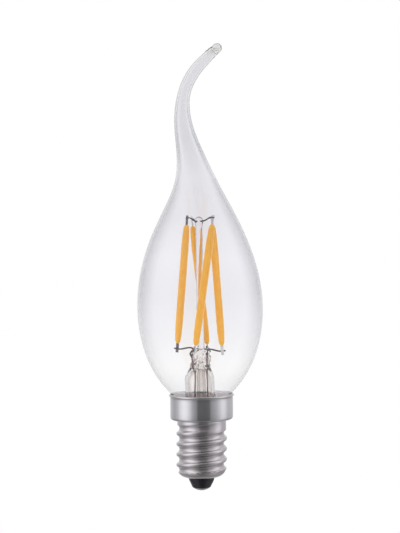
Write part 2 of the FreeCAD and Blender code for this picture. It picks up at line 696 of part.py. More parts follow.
def make_lead_wire(strip, side):
    """A lead from the board, up through the stem and the press, and out to the foot of a strip."""
    board_x = side * LEAD_SPREAD / 2
    press_x = side * LEAD_PRESS_SPREAD / 2
    points = [
        V(board_x, 0, BOARD_TOP_Z - PAD_LENGTH),
        V(board_x, 0, PRESS_SHOULDER_Z - WIRE_DIAMETER),
        V(press_x, 0, PRESS_FLOOR_Z + EXHAUST_BORE),
        lead_corner(side),
        strip.weld_point(False),
    ]
    return bent_rod(points, WIRE_R, WIRE_BEND)


def make_arm_wire(strip, side):
    """A short wire welded to a lead above the press that reaches the foot of the next strip."""
    return rod(arm_start(side), strip.weld_point(False), WIRE_R)


def make_driver_board():
    """The circuit board, which stands on edge across the shell."""
    height = BOARD_TOP_Z - BOARD_FOOT_Z
    centre = V(0, (BOARD_REAR_Y + BOARD_FRONT_Y) / 2, BOARD_FOOT_Z + height / 2)
    return box(centre, (2 * BOARD_HALF_WIDTH, BOARD_THICKNESS, height))


def make_chip_package(size, centre_x, leg_xs_up, leg_xs_down):
    """A moulded package halfway up the rear of the board, with flat legs above and below it."""
    width, depth, height = size
    centre_z = BOARD_MIDDLE_Z
    body = box(V(centre_x, BOARD_REAR_Y + PART_LIFT + depth / 2, centre_z), (width, depth, height))
    solids = [body]
    for direction, xs in ((1, leg_xs_up), (-1, leg_xs_down)):
        edge_z = centre_z + direction * height / 2
        bend_y = BOARD_REAR_Y + depth / 2
        for x in xs:
            shank = box(
                V(centre_x + x, bend_y, edge_z + direction * LEG_THICKNESS / 2),
                (LEG_WIDTH, LEG_THICKNESS, LEG_THICKNESS),
            )
            drop = bend_y - BOARD_REAR_Y + LEG_THICKNESS / 2
            down = box(
                V(centre_x + x, BOARD_REAR_Y + drop / 2, edge_z + direction * LEG_THICKNESS * 1.5),
                (LEG_WIDTH, drop, LEG_THICKNESS),
            )
            foot = box(
                V(centre_x + x, BOARD_REAR_Y + LEG_THICKNESS / 2, edge_z + direction * (LEG_THICKNESS + LEG_REACH / 2)),
                (LEG_WIDTH, LEG_THICKNESS, LEG_REACH),
            )
            solids += [shank, down, foot]
    return joined(solids)


def make_rectifier():
    """The bridge rectifier with two legs on each side."""
    xs = (-RECTIFIER_LEG_SPACING / 2, RECTIFIER_LEG_SPACING / 2)
    return make_chip_package(RECTIFIER_SIZE, RECTIFIER_X, xs, xs)


def make_driver_chip():
    """The current driver with three legs on one side and its wide cooling leg on the other."""
    below = (-CHIP_LEG_SPACING, 0, CHIP_LEG_SPACING)
    return make_chip_package(CHIP_SIZE, CHIP_X, (0,), below)


def make_smoothing_capacitor():
    """The can capacitor that lies against the front of the board on its two bent leads."""
    r = CAPACITOR_DIAMETER / 2
    axis_y = BOARD_FRONT_Y - PART_LIFT - r
    foot, top = CAPACITOR_FOOT_Z, CAPACITOR_FOOT_Z + CAPACITOR_LENGTH
    crimp_z = foot + 5 * CAPACITOR_CRIMP
    can = turned(rounded_profile((
        (0, foot, 0),
        (r - CAPACITOR_CRIMP, foot, 0),
        (r, foot + CAPACITOR_CRIMP, 0),
        (r, crimp_z - CAPACITOR_CRIMP, 0),
        (r - CAPACITOR_CRIMP, crimp_z, 0),
        (r, crimp_z + CAPACITOR_CRIMP, 0),
        (r, top - CAPACITOR_CRIMP, 0),
        (r - CAPACITOR_CRIMP, top, 0),
        (0, top, 0),
    )))
    can.translate(V(0, axis_y, 0))
    solids = [can]
    for side in (-1, 1):
        x = side * CAPACITOR_LEAD_SPACING / 2
        turn_z = foot - 2 * CAPACITOR_LEAD_DIAMETER
        points = [V(x, axis_y, foot), V(x, axis_y, turn_z), V(x, BOARD_FRONT_Y, turn_z)]
        solids.append(bent_rod(points, CAPACITOR_LEAD_DIAMETER / 2, CAPACITOR_LEAD_DIAMETER))
    return joined(solids)


def make_fuse_resistor():
    """The chip resistor on the front of the board, with raised solder ends."""
    width, depth, height = RESISTOR_SIZE
    centre = V(RESISTOR_X, BOARD_FRONT_Y - depth / 2, BOARD_FOOT_Z + RESISTOR_LIFT)
    solids = [box(centre + V(0, RESISTOR_BAND / 10, 0), (width - RESISTOR_BAND / 5, depth - RESISTOR_BAND / 5, height))]
    for side in (-1, 1):
        end = centre + V(0, 0, side * (height - RESISTOR_BAND) / 2)
        solids.append(box(end, (width, depth, RESISTOR_BAND)))
    return joined(solids)


def make_contact_wire():
    """The wire from the centre contact to the lower edge of the board."""
    start = V(0, 0, INSULATOR_FOOT_Z + CONTACT_STEM_LENGTH)
    return rod(start, V(0, 0, BOARD_FOOT_Z + PAD_LENGTH / 3), WIRE_R)


def make_shell_wire():
    """The wire from the board to the inside of the shell's neck."""
    x = BOARD_HALF_WIDTH - 2 * WIRE_DIAMETER
    top = (NECK_FOOT_Z + COLLAR_FOOT_Z) / 2
    points = [V(x, 0, BOARD_TOP_Z - 2 * PAD_LENGTH), V(x, 0, top), V(NECK_R - SHELL_WALL - WIRE_GAP, 0, top)]
    return bent_rod(points, WIRE_R, WIRE_BEND)


def build_nodes():
    """Every piece of the bulb by the name of its node."""
    strips = {place: Strip(i) for i, place in enumerate(PLACES)}
    uppers = {
        "upper_wire_left": make_upper_wire(strips["left"], strips["rear"], -1),
        "upper_wire_right": make_upper_wire(strips["right"], strips["front"], 1),
    }
    leads = {
        "lead_wire_left": make_lead_wire(strips["left"], -1),
        "lead_wire_right": make_lead_wire(strips["right"], 1),
    }
    nodes = {
        "glass_envelope": make_glass_envelope(),
        "stem_flare": make_stem_flare(leads.values()),
        "exhaust_tube": make_exhaust_tube(),
        "centre_post": make_centre_post(uppers.values()),
        "cap_shell": make_cap_shell(),
        "basing_cement": make_basing_cement(),
        "insulator": make_insulator(),
        "centre_contact": make_centre_contact(),
        "contact_wire": make_contact_wire(),
        "shell_wire": make_shell_wire(),
        "driver_board": make_driver_board(),
        "rectifier": make_rectifier(),
        "driver_chip": make_driver_chip(),
        "smoothing_capacitor": make_smoothing_capacitor(),
        "fuse_resistor": make_fuse_resistor(),
        "arm_wire_front": make_arm_wire(strips["front"], -1),
        "arm_wire_rear": make_arm_wire(strips["rear"], 1),
    }
    nodes.update(uppers)
    nodes.update(leads)
    for place, strip in strips.items():
        nodes["filament_" + place] = make_filament(strip)
        nodes["upper_tab_" + place] = make_tab(strip, True)
        nodes["lower_tab_" + place] = make_tab(strip, False)
    return nodes


os.makedirs("parts", exist_ok=True)
for name, shape in build_nodes().items():
    shape.exportStep("parts/" + name + ".step")
    print(name, "valid" if shape.isValid() else "NOT VALID", len(shape.Solids), round(shape.Volume, 3))
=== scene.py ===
import json
import logging
import math
import random
from dataclasses import dataclass
from enum import Enum
from typing import Callable, Iterable, Sequence

import bmesh
import bpy
import numpy as np
from mathutils import Matrix, Vector, noise

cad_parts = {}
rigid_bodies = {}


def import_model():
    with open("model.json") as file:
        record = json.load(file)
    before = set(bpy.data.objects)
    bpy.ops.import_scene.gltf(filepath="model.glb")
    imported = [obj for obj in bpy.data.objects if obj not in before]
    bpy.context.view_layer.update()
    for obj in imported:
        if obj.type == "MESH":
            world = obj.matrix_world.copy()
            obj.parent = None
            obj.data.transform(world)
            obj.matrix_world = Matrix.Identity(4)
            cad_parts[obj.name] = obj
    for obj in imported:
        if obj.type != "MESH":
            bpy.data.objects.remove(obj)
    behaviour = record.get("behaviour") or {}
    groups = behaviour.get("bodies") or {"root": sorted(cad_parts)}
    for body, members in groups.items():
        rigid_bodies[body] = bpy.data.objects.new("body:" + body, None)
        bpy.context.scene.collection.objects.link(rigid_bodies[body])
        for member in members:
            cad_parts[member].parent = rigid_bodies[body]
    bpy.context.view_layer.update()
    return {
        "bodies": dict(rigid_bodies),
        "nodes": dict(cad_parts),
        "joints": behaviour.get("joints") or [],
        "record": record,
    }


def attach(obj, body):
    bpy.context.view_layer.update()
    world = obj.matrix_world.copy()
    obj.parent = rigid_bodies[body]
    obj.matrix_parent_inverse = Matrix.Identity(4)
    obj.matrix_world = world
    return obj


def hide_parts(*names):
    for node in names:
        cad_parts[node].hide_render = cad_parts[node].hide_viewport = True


MM = 0.001
BODY = "root"
NOISE_SEED = 8
log = logging.getLogger("candle_bulb")

Colour = tuple[float, float, float]
Point = tuple[float, float, float]
Pairs = tuple[tuple[float, float], ...]
Skin = tuple[list, list]
WHITE: Colour = (1.0, 1.0, 1.0)


class Place(Enum):
    """Where a filament strip stands, seen from the front."""

    LEFT = "left"
    REAR = "rear"
    RIGHT = "right"
    FRONT = "front"


# Small tools for meshes

def vec(point: Point) -> Vector:
    """A point in millimetres as a vector in metres."""
    return Vector(point) * MM


def link(name: str, data: bpy.types.ID) -> bpy.types.Object:
    """Puts a mesh, a lamp or a camera into the scene.

    Args:
        name: The object's name.
        data: What the object holds.

    Returns:
        The new object.
    """
    piece = bpy.data.objects.new(name, data)
    bpy.context.scene.collection.objects.link(piece)
    return piece


def shade_smooth(mesh: bpy.types.Mesh, sharp_angle: float = 40.0) -> None:
    """Shades a mesh smoothly, with sharp edges where its faces turn by more than an angle in degrees."""
    mesh.polygons.foreach_set("use_smooth", [True] * len(mesh.polygons))
    mesh.set_sharp_from_angle(angle=math.radians(sharp_angle))


def ring_grid(rings: Sequence[np.ndarray], closed: bool = False) -> Skin:
    """A skin through closed rings of equally many points.

    Args:
        rings: The points of each ring in millimetres, counter-clockwise seen from the last ring.
        closed: Whether the first and the last ring are each closed with one face.

    Returns:
        The vertices in metres and the faces.
    """
    count = len(rings[0])
    last = (len(rings) - 1) * count
    faces = []
    for low in range(0, last, count):
        for j in range(count):
            k = (j + 1) % count
            faces.append((low + j, low + k, low + count + k, low + count + j))
    if closed:
        faces += [tuple(reversed(range(count))), tuple(range(last, last + count))]
    return [tuple(point) for point in np.concatenate(rings) * MM], faces


def mesh_from(name: str, parts: Iterable[Skin], sharp_angle: float = 40.0) -> bpy.types.Object:
    """Joins skins into one shaded object.

    Args:
        name: The name of the object and its mesh.
        parts: The skins.
        sharp_angle: The angle past which an edge is sharp, in degrees.

    Returns:
        The new object.
    """
    verts: list = []
    faces: list = []
    for part_verts, part_faces in parts:
        start = len(verts)
        verts += part_verts
        faces += [tuple(start + i for i in face) for face in part_faces]
    mesh = bpy.data.meshes.new(name)
    mesh.from_pydata(verts, [], faces)
    mesh.validate()
    shade_smooth(mesh, sharp_angle)
    return link(name, mesh)


def spline(points: Sequence[Sequence[float]], start: Sequence[float], end: Sequence[float]) -> Callable:
    """A smooth cubic curve through points with given directions at its ends.

    Args:
        points: The points that the curve passes.
        start: The direction in which it leaves the first point.
        end: The direction in which it arrives at the last point.

    Returns:
        A function that gives the point and the direction at a parameter from 0 to the point count less 1.
    """
    knots = np.array(points, float)
    steps = np.linalg.norm(np.diff(knots, axis=0), axis=1)
    at = np.concatenate(([0.0], np.cumsum(steps)))
    size = len(knots)
    system = np.zeros((size, size))
    target = np.zeros_like(knots)
    system[0, 0] = system[-1, -1] = 1.0
    target[0] = np.array(start, float) / np.linalg.norm(start)
    target[-1] = np.array(end, float) / np.linalg.norm(end)
    for i in range(1, size - 1):
        before, after = steps[i - 1], steps[i]
        system[i, i - 1] = after
        system[i, i] = 2 * (before + after)
        system[i, i + 1] = before
        rise_in = (knots[i] - knots[i - 1]) / before
        rise_out = (knots[i + 1] - knots[i]) / after
        target[i] = 3 * (after * rise_in + before * rise_out)
    slopes = np.linalg.solve(system, target)

    def value(parameter: float) -> tuple[np.ndarray, np.ndarray]:
        """The point and the unit direction at a parameter.

        Args:
            parameter: The place on the curve, counted in points.

        Returns:
            The point and the direction.
        """
        i = min(int(parameter), size - 2)
        t = parameter - i
        step = steps[i]
        point = (
            knots[i] * (2 * t ** 3 - 3 * t ** 2 + 1)
            + knots[i + 1] * (3 * t ** 2 - 2 * t ** 3)
            + slopes[i] * step * (t ** 3 - 2 * t ** 2 + t)
            + slopes[i + 1] * step * (t ** 3 - t ** 2)
        )
        way = (
            (knots[i + 1] - knots[i]) * (6 * t - 6 * t ** 2) / step
            + slopes[i] * (3 * t ** 2 - 4 * t + 1)
            + slopes[i + 1] * (3 * t ** 2 - 2 * t)
        )
        return point, way / np.linalg.norm(way)

    return value


def round_ring(
    centre: Sequence[float], radius: float | np.ndarray, count: int, lean: float = 0.0
) -> np.ndarray:
    """A circle about a centre, square to a direction that leans from +Z towards +X.

    Args:
        centre: The centre in millimetres.
        radius: The radius in millimetres, or one for each point.
        count: How many points it has.
        lean: The lean in radians.

    Returns:
        The points, counter-clockwise seen from above.
    """
    turn = np.arange(count) * (2 * math.pi / count)
    x, y = radius * np.cos(turn), radius * np.sin(turn)
    return np.stack((
        centre[0] + x * math.cos(lean),
        centre[1] + y,
        centre[2] - x * math.sin(lean),
    ), axis=1)


def turned(outline: Iterable[tuple[float, float]], count: int) -> list[np.ndarray]:
    """Level rings about the axis, one through each (radius, height) point of an outline."""
    return [round_ring((0, 0, z), r, count) for r, z in outline]


def arc_points(centre: tuple[float, float], radius: float, start: float, end: float, steps: int) -> list:
    """Points (radius, height) along a circular arc between two angles in degrees."""
    angles = np.radians(np.linspace(start, end, steps + 1))
    return [(centre[0] + radius * math.cos(a), centre[1] + radius * math.sin(a)) for a in angles]


def tube(points: Sequence[Vector], radii: Sequence[float], count: int) -> Skin:
    """A round bar of changing radius along a line, closed at both ends.

    Args:
        points: The centre line in millimetres.
        radii: The radius at each point in millimetres.
        count: How many points each ring has.

    Returns:
        The vertices in metres and the faces.
    """
    rings = []
    line = [Vector(p) for p in points]
    side = (line[1] - line[0]).orthogonal().normalized()
    for i, here in enumerate(line):
        way = (line[min(i + 1, len(line) - 1)] - line[max(i - 1, 0)]).normalized()
        side = (side - way * side.dot(way)).normalized()
        up = way.cross(side)
        rings.append(np.array([
            tuple(here + (side * math.cos(a) + up * math.sin(a)) * radii[i])
            for a in (2 * math.pi * j / count for j in range(count))
        ]))
    return ring_grid(rings, True)


# Small tools for shader nodes

class NodeTree:
    """A short way to add and join the nodes of one shader tree."""

    def __init__(self, tree: bpy.types.NodeTree) -> None:
        """Wraps a tree."""
        self.tree = tree

    @classmethod
    def emptied(cls, owner: bpy.types.ID) -> "NodeTree":
        """Empties the node tree of a material or a world.

        Args:
            owner: The material or world.

        Returns:
            Its tree, wrapped.
        """
        owner.use_nodes = True
        owner.node_tree.nodes.clear()
        return cls(owner.node_tree)

    def join(self, source: object, target: bpy.types.NodeSocket) -> None:
        """Feeds an input.

        Args:
            source: A socket, a node whose main output is meant, or a plain number, vector or colour.
            target: The input.
        """
        if isinstance(source, bpy.types.Node):
            mixes_colours = source.bl_idname == "ShaderNodeMix" and source.data_type == "RGBA"
            source = source.outputs[2 if mixes_colours else 0]
        if isinstance(source, bpy.types.NodeSocket):
            self.tree.links.new(source, target)
        else:
            target.default_value = (*source, 1.0) if target.type == "RGBA" else source

    def add(self, kind: str, inputs: dict | None = None, **settings: object) -> bpy.types.Node:
        """Adds a node.

        Args:
            kind: The node's type without the ShaderNode prefix.
            inputs: What feeds its inputs, by name or number.
            **settings: Properties of the node.

        Returns:
            The new node.
        """
        node = self.tree.nodes.new("ShaderNode" + kind)
        for name, value in settings.items():
            setattr(node, name, value)
        for socket, source in (inputs or {}).items():
            self.join(source, node.inputs[socket])
        return node

    def math(self, operation: str, *sources: object) -> bpy.types.Node:
        """A Math node fed by sockets, nodes or numbers."""
        return self.add("Math", dict(enumerate(sources)), operation=operation)

    def blend(self, share: object, first: object, second: object, how: str = "MIX") -> bpy.types.Node:
        """A mix of two colours by a share."""
        return self.add("Mix", {0: share, 6: first, 7: second}, data_type="RGBA", blend_type=how)

    def mix_shaders(self, share: object, first: object, second: object) -> bpy.types.Node:
        """A mix of two shaders by a share."""
        return self.add("MixShader", {0: share, 1: first, 2: second})

    def ramp(self, source: object, stops: Sequence[tuple[float, float | Colour]]) -> bpy.types.Node:
        """A colour ramp.

        Args:
            source: What feeds it.
            stops: The position and the grey or colour of each stop.

        Returns:
            The ramp's node.
        """
        node = self.add("ValToRGB", {0: source})
        elements = node.color_ramp.elements
        while len(elements) < len(stops):
            elements.new(0.5)
        for element, (position, shade) in zip(elements, stops):
            element.position = position
            element.color = (*shade, 1.0) if isinstance(shade, tuple) else (shade, shade, shade, 1.0)
        return node

    def facing(self, stops: Pairs) -> bpy.types.Node:
        """A ramp over how far the surface turns away from the ray."""
        return self.ramp(self.add("LayerWeight", {"Blend": 0.5}).outputs["Facing"], stops)

    def place_parts(self, kind: str = "Object") -> bpy.types.bpy_prop_collection:
        """The X, Y and Z outputs of the place on the surface."""
        return self.add("SeparateXYZ", {0: self.add("TexCoord").outputs[kind]}).outputs

    def bump(self, height: object, depth: float, strength: float = 0.5) -> bpy.types.Node:
        """Relief from a height, of a depth in millimetres."""
        return self.add("Bump", {"Height": height, "Strength": strength, "Distance": depth * MM})

    def effect(self, name: str, *values: float) -> bpy.types.Node:
        """Places a shared effect with its own values, in the order of its inputs."""
        return self.add("Group", dict(enumerate(values)), node_tree=EffectGroup.made[name])


class EffectGroup:
    """A shader node group that several finishes share."""

    made: dict[str, bpy.types.NodeTree] = {}

    def __init__(self, name: str, inputs: dict[str, float]) -> None:
        """Starts a group with number inputs and one output.

        Args:
            name: The group's name.
            inputs: The inputs and their usual values.
        """
        tree = bpy.data.node_groups.new(name, "ShaderNodeTree")
        for socket, value in inputs.items():
            item = tree.interface.new_socket(name=socket, in_out="INPUT", socket_type="NodeSocketFloat")
            item.default_value = value
        tree.interface.new_socket(name="Value", in_out="OUTPUT", socket_type="NodeSocketFloat")
        self.nodes = NodeTree(tree)
        self.start = tree.nodes.new("NodeGroupInput")
        self.end = tree.nodes.new("NodeGroupOutput")
        self.made[name] = tree


def build_speckle() -> None:
    """Makes the effect of fine uneven grain with larger soft clouds, as on moulded and baked surfaces."""
    group = EffectGroup("speckle", {"Grain Scale": 2500.0, "Cloud Scale": 180.0, "Cloud Share": 0.5})
    nodes, given = group.nodes, group.start.outputs
    place = nodes.add("TexCoord").outputs["Object"]
    grain, cloud = (
        nodes.add("TexNoise", {"Vector": place, "Scale": given[size], "Detail": detail, "Roughness": rough})
        for size, detail, rough in (("Grain Scale", 3.0, 0.6), ("Cloud Scale", 2.0, 0.5))
    )
    mix = nodes.add("Mix", {0: given["Cloud Share"], 2: grain, 3: cloud}, data_type="FLOAT")
    nodes.join(mix, group.end.inputs["Value"])


def build_drawn_lines() -> None:
    """Makes the effect of fine lines along the axis, as a draw die leaves on sheet and wire."""
    group = EffectGroup("drawn_lines", {"Across": 2600.0, "Along": 60.0})
    nodes, given = group.nodes, group.start.outputs
    parts = nodes.place_parts()
    scaled = nodes.add("CombineXYZ", {
        axis: nodes.math("MULTIPLY", parts[axis], given[size])
        for axis, size in (("X", "Across"), ("Y", "Across"), ("Z", "Along"))
    })
    lines = nodes.add("TexNoise", {"Vector": scaled, "Scale": 1.0, "Detail": 3.0, "Roughness": 0.6})
    nodes.join(lines, group.end.inputs["Value"])


# Finishes

class Finish:
    """What every finish has in common: it builds its material once and dresses pieces with it."""

    slot: str
    variant: str

    def material(self) -> bpy.types.Material:
        """Builds the finish's material on its first use.

        Returns:
            The material.
        """
        name = "finish_" + self.slot + self.variant
        made = bpy.data.materials.get(name)
        if made is None:
            made = bpy.data.materials.new(name)
            nodes = NodeTree.emptied(made)
            nodes.add("OutputMaterial", {"Surface": self.surface(nodes)})
        return made

    def surface(self, nodes: NodeTree) -> bpy.types.Node:
        """Builds the shader nodes and returns the last one."""
        raise NotImplementedError

    def dress(self, piece: bpy.types.Object) -> None:
        """Gives a piece this finish as its only material."""
        piece.data.materials.clear()
        piece.data.materials.append(self.material())


@dataclass(frozen=True)
class ClearGlass(Finish):
    """Clear fire-polished glass that darkens with height, partly by its tint and partly by painted shade.

    Painted shade darkens its edges: broadly, growing fainter towards clear_edge_z, and above thin_edge_z,
    where the wall is thin, narrowly, with a painted highlight, a pale glint, beside it.
    """

    slot: str
    tints_and_shade: tuple[tuple[float, Colour], ...]
    edge_shade_tint: Colour = (0.50, 0.505, 0.52)
    edge_start: float = 0.34
    edge_end: float = 0.95
    clear_edge_z: float = 36.0
    clear_edge_share: float = 0.25
    clear_edge_fade: float = 0.15
    thin_edge_z: float = 83.0
    thin_edge_fade: float = 0.08
    thin_edge_stops: Pairs = ((0.33, 0.0), (0.52, 1.0))
    painted_glint_stops: Pairs = ((0.11, 0.0), (0.19, 1.0), (0.28, 1.0), (0.36, 0.0))
    painted_glint_tint: Colour = (0.98, 0.98, 0.99)
    painted_glint_share: float = 0.55
    index: float = 1.47
    ripple: float = 0.0
    ripple_scale: float = 300.0
    height_span: float = 125.0
    frost: float = 0.0
    frost_z: float = 26.4
    frost_fade: float = 0.008
    variant: str = ""

    def edge(self, nodes: NodeTree, height: bpy.types.Node, tail: bpy.types.Node) -> bpy.types.Node:
        """How much of the painted edge shade the glass takes.

        Args:
            nodes: The material's tree.
            height: The height as a share of the span.
            tail: A share that is 1 where the wall is thin.

        Returns:
            The share's node.
        """
        low, high = self.clear_edge_z / self.height_span, self.thin_edge_z / self.height_span
        body = nodes.ramp(height, (
            (low, self.clear_edge_share), (low + self.clear_edge_fade, 1.0),
            (high, 1.0), (high + self.thin_edge_fade, 0.0),
        ))
        broad = nodes.math("MULTIPLY", nodes.facing(((self.edge_start, 0.0), (self.edge_end, 1.0))), body)
        narrow = nodes.math("MULTIPLY", nodes.facing(self.thin_edge_stops), tail)
        return nodes.math("MAXIMUM", broad, narrow)

    def surface(self, nodes: NodeTree) -> bpy.types.Node:
        """Glass, with plain see-through for shadow rays.

        Args:
            nodes: The material's tree.

        Returns:
            The last shader.
        """
        height = nodes.math("DIVIDE", nodes.place_parts()["Z"], self.height_span * MM)
        high = self.thin_edge_z / self.height_span
        tail = nodes.ramp(height, ((high, 0.0), (high + self.thin_edge_fade, 1.0)))
        # The colour by height holds the glass's tint and painted shade, matched to how bright the glass looks
        tint = nodes.ramp(height, [(z / self.height_span, tint) for z, tint in self.tints_and_shade])
        # Painted highlight: a pale glint mixed into the colour beside the edges of the thin tail
        glint = nodes.math(
            "MULTIPLY", nodes.facing(self.painted_glint_stops), nodes.math("MULTIPLY", tail, self.painted_glint_share)
        )
        tint_and_painted_glint = nodes.blend(glint, tint, self.painted_glint_tint)
        inputs = {
            # Painted shade: the colour darkens towards the edges
            "Base Color": nodes.blend(self.edge(nodes, height, tail), tint_and_painted_glint, self.edge_shade_tint, "MULTIPLY"),
            "Roughness": 0.0,
            "IOR": self.index,
            "Transmission Weight": 1.0,
        }
        if self.frost:
            top = self.frost_z / self.height_span
            inputs["Roughness"] = nodes.ramp(height, ((top - self.frost_fade, self.frost), (top, 0.0)))
        if self.ripple:
            place = nodes.add("TexCoord").outputs["Object"]
            waves = nodes.add("TexNoise", {"Vector": place, "Scale": self.ripple_scale, "Detail": 1.0})
            inputs["Normal"] = nodes.bump(waves, self.ripple)
        shadow = nodes.add("LightPath").outputs["Is Shadow Ray"]
        clear = nodes.add("BsdfTransparent", {"Color": tint})
        return nodes.mix_shaders(shadow, nodes.add("BsdfPrincipled", inputs), clear)


@dataclass(frozen=True)
class PlatedMetal(Finish):
    """Bright plated sheet with the fine lines of the draw die.

    Below below_z, where it was rolled or sealed hot into glass, it is duller or stained.
    """

    slot: str
    colour: Colour
    dull_colour: Colour
    roughness: float = 0.2
    unevenness: float = 0.1
    line_depth: float = 0.004
    lines: tuple[float, float] = (2600.0, 60.0)
    speckle: tuple[float, float, float] = (900.0, 160.0, 0.7)
    dull_stops: Pairs = ((0.35, 0.0), (0.75, 1.0))
    below_z: float = 0.0
    below_roughness: float = 0.0
    below_tint: Colour = (0.98, 0.945, 0.945)
    variant: str = ""

    def below_share(self, nodes: NodeTree) -> bpy.types.Node:
        """A share that rises to 1 within a millimetre below below_z."""
        over = nodes.math("SUBTRACT", self.below_z * MM, nodes.place_parts()["Z"])
        return nodes.ramp(nodes.math("MULTIPLY", over, 1 / MM), ((0.0, 0.0), (1.0, 1.0)))

    def surface(self, nodes: NodeTree) -> bpy.types.Node:
        """Metal whose colour, roughness and relief follow the drawn lines.

        Args:
            nodes: The material's tree.

        Returns:
            The last shader.
        """
        lines = nodes.effect("drawn_lines", *self.lines)
        clouds = nodes.effect("speckle", *self.speckle)
        colour = nodes.blend(nodes.ramp(clouds, self.dull_stops), self.colour, self.dull_colour)
        rough = nodes.math("MULTIPLY_ADD", lines, self.unevenness, self.roughness - self.unevenness / 2)
        if self.below_z:
            below = self.below_share(nodes)
            rough = nodes.math("ADD", rough, nodes.math("MULTIPLY", below, self.below_roughness))
            stained = tuple(part * tint for part, tint in zip(self.dull_colour, self.below_tint))
            colour = nodes.blend(below, colour, stained)
        return nodes.add("BsdfPrincipled", {
            "Metallic": 1.0,
            "Base Color": colour,
            "Roughness": rough,
            "Normal": nodes.bump(lines, self.line_depth),
        })


@dataclass(frozen=True)
class Coating(Finish):
    """Smooth silicone with yellow phosphor in it, thinner and paler towards its edges.

    Its small glow stands for the light that it scatters, and the bulb is off.
    """

    slot: str = "phosphor_coating"
    colour: Colour = (0.91, 0.465, 0.046)
    deep_colour: Colour = (0.86, 0.40, 0.032)
    edge_colour: Colour = (0.94, 0.66, 0.24)
    speckle: tuple[float, float, float] = (3000.0, 500.0, 0.6)
    cloud_stops: Pairs = ((0.35, 0.0), (0.7, 1.0))
    edge_stops: Pairs = ((0.35, 0.0), (0.95, 1.0))
    roughness: float = 0.45
    specular: float = 0.35
    scatter: float = 0.15
    scatter_reach: Point = (0.4 * MM, 0.2 * MM, 0.05 * MM)
    relief: float = 0.02
    relief_strength: float = 0.4
    glow: float = 0.24
    variant: str = ""

    def surface(self, nodes: NodeTree) -> bpy.types.Node:
        """Soft silicone with faint clouds of phosphor.

        Args:
            nodes: The material's tree.

        Returns:
            The last shader.
        """
        clouds = nodes.effect("speckle", *self.speckle)
        body = nodes.blend(nodes.ramp(clouds, self.cloud_stops), self.colour, self.deep_colour)
        colour = nodes.blend(nodes.facing(self.edge_stops), body, self.edge_colour)
        return nodes.add("BsdfPrincipled", {
            "Base Color": colour,
            "Roughness": self.roughness,
            "Specular IOR Level": self.specular,
            "Subsurface Weight": self.scatter,
            "Subsurface Radius": self.scatter_reach,
            "Emission Color": colour,
            "Emission Strength": self.glow,
            "Normal": nodes.bump(clouds, self.relief, self.relief_strength),
        })


@dataclass(frozen=True)
class Moulded(Finish):
    """A moulded, baked or laminated surface with fine grain."""

    slot: str
    colour: Colour
    shade_colour: Colour
    roughness: float
    grain_depth: float = 0.01
    grain_scale: float = 2500.0
    clouds_per_grain: float = 1 / 8
    cloud_share: float = 0.4
    shade_stops: Pairs = ((0.35, 0.0), (0.7, 1.0))
    unevenness: float = 0.15
    smoothing: float = 0.07
    glow: float = 0.0
    variant: str = ""

    def surface(self, nodes: NodeTree) -> bpy.types.Node:
        """A plain surface whose colour and relief follow its grain.

        Args:
            nodes: The material's tree.

        Returns:
            The last shader.
        """
        cloud_scale = self.grain_scale * self.clouds_per_grain
        grain = nodes.effect("speckle", self.grain_scale, cloud_scale, self.cloud_share)
        colour = nodes.blend(nodes.ramp(grain, self.shade_stops), self.colour, self.shade_colour)
        return nodes.add("BsdfPrincipled", {
            "Base Color": colour,
            "Roughness": nodes.math("MULTIPLY_ADD", grain, self.unevenness, self.roughness - self.smoothing),
            "Emission Color": colour,
            "Emission Strength": self.glow,
            "Normal": nodes.bump(grain, self.grain_depth),
        })


# The glass colours by height are matched to how bright the glass looks: tint and painted shade in one
ENVELOPE_GLASS = ClearGlass("clear_glass", (
    (27.0, (0.955, 0.953, 0.960)),
    (33.0, (0.992, 0.990, 0.994)),
    (42.0, (0.952, 0.948, 0.964)),
    (53.0, (0.912, 0.908, 0.930)),
    (63.0, (0.926, 0.922, 0.946)),
    (74.0, (0.885, 0.881, 0.905)),
    (84.0, (0.886, 0.883, 0.906)),
    (94.0, (0.838, 0.838, 0.858)),
    (114.0, (0.858, 0.858, 0.878)),
    (117.3, (0.85, 0.85, 0.86)),
    (118.5, (0.70, 0.71, 0.68)),
))
STEM_GLASS = ClearGlass(
    "stem_glass",
    (
        (22.0, (0.995, 0.965, 0.955)),
        (26.0, (0.985, 0.955, 0.945)),
        (28.5, (0.97, 0.955, 0.95)),
        (31.5, (0.95, 0.93, 0.92)),
        (33.5, (0.90, 0.87, 0.85)),
        (37.0, (0.89, 0.85, 0.83)),
        (41.0, (0.94, 0.935, 0.96)),
    ),
    edge_shade_tint=(0.52, 0.51, 0.505), edge_start=0.22, edge_end=0.5, clear_edge_z=0.0, thin_edge_z=125.0,
    index=1.46, ripple=0.02, ripple_scale=500.0, frost=0.5,
)
TUBE_GLASS = ClearGlass(
    "stem_glass", ((26.5, (1.0, 0.98, 0.97)), (28.5, (0.92, 0.90, 0.885)), (34.0, (0.91, 0.885, 0.855))),
    edge_shade_tint=(0.40, 0.36, 0.34), edge_start=0.08, edge_end=0.34, clear_edge_z=0.0, thin_edge_z=125.0,
    index=1.5, variant="_tube",
)
CAP_NICKEL = PlatedMetal(
    "cap_nickel", (0.72, 0.71, 0.72), (0.66, 0.65, 0.66), 0.13, 0.10, below_z=19.4, below_roughness=0.10,
)
CONTACT_METAL = PlatedMetal("contact_metal", (0.62, 0.62, 0.63), (0.42, 0.42, 0.43), 0.36, 0.2)
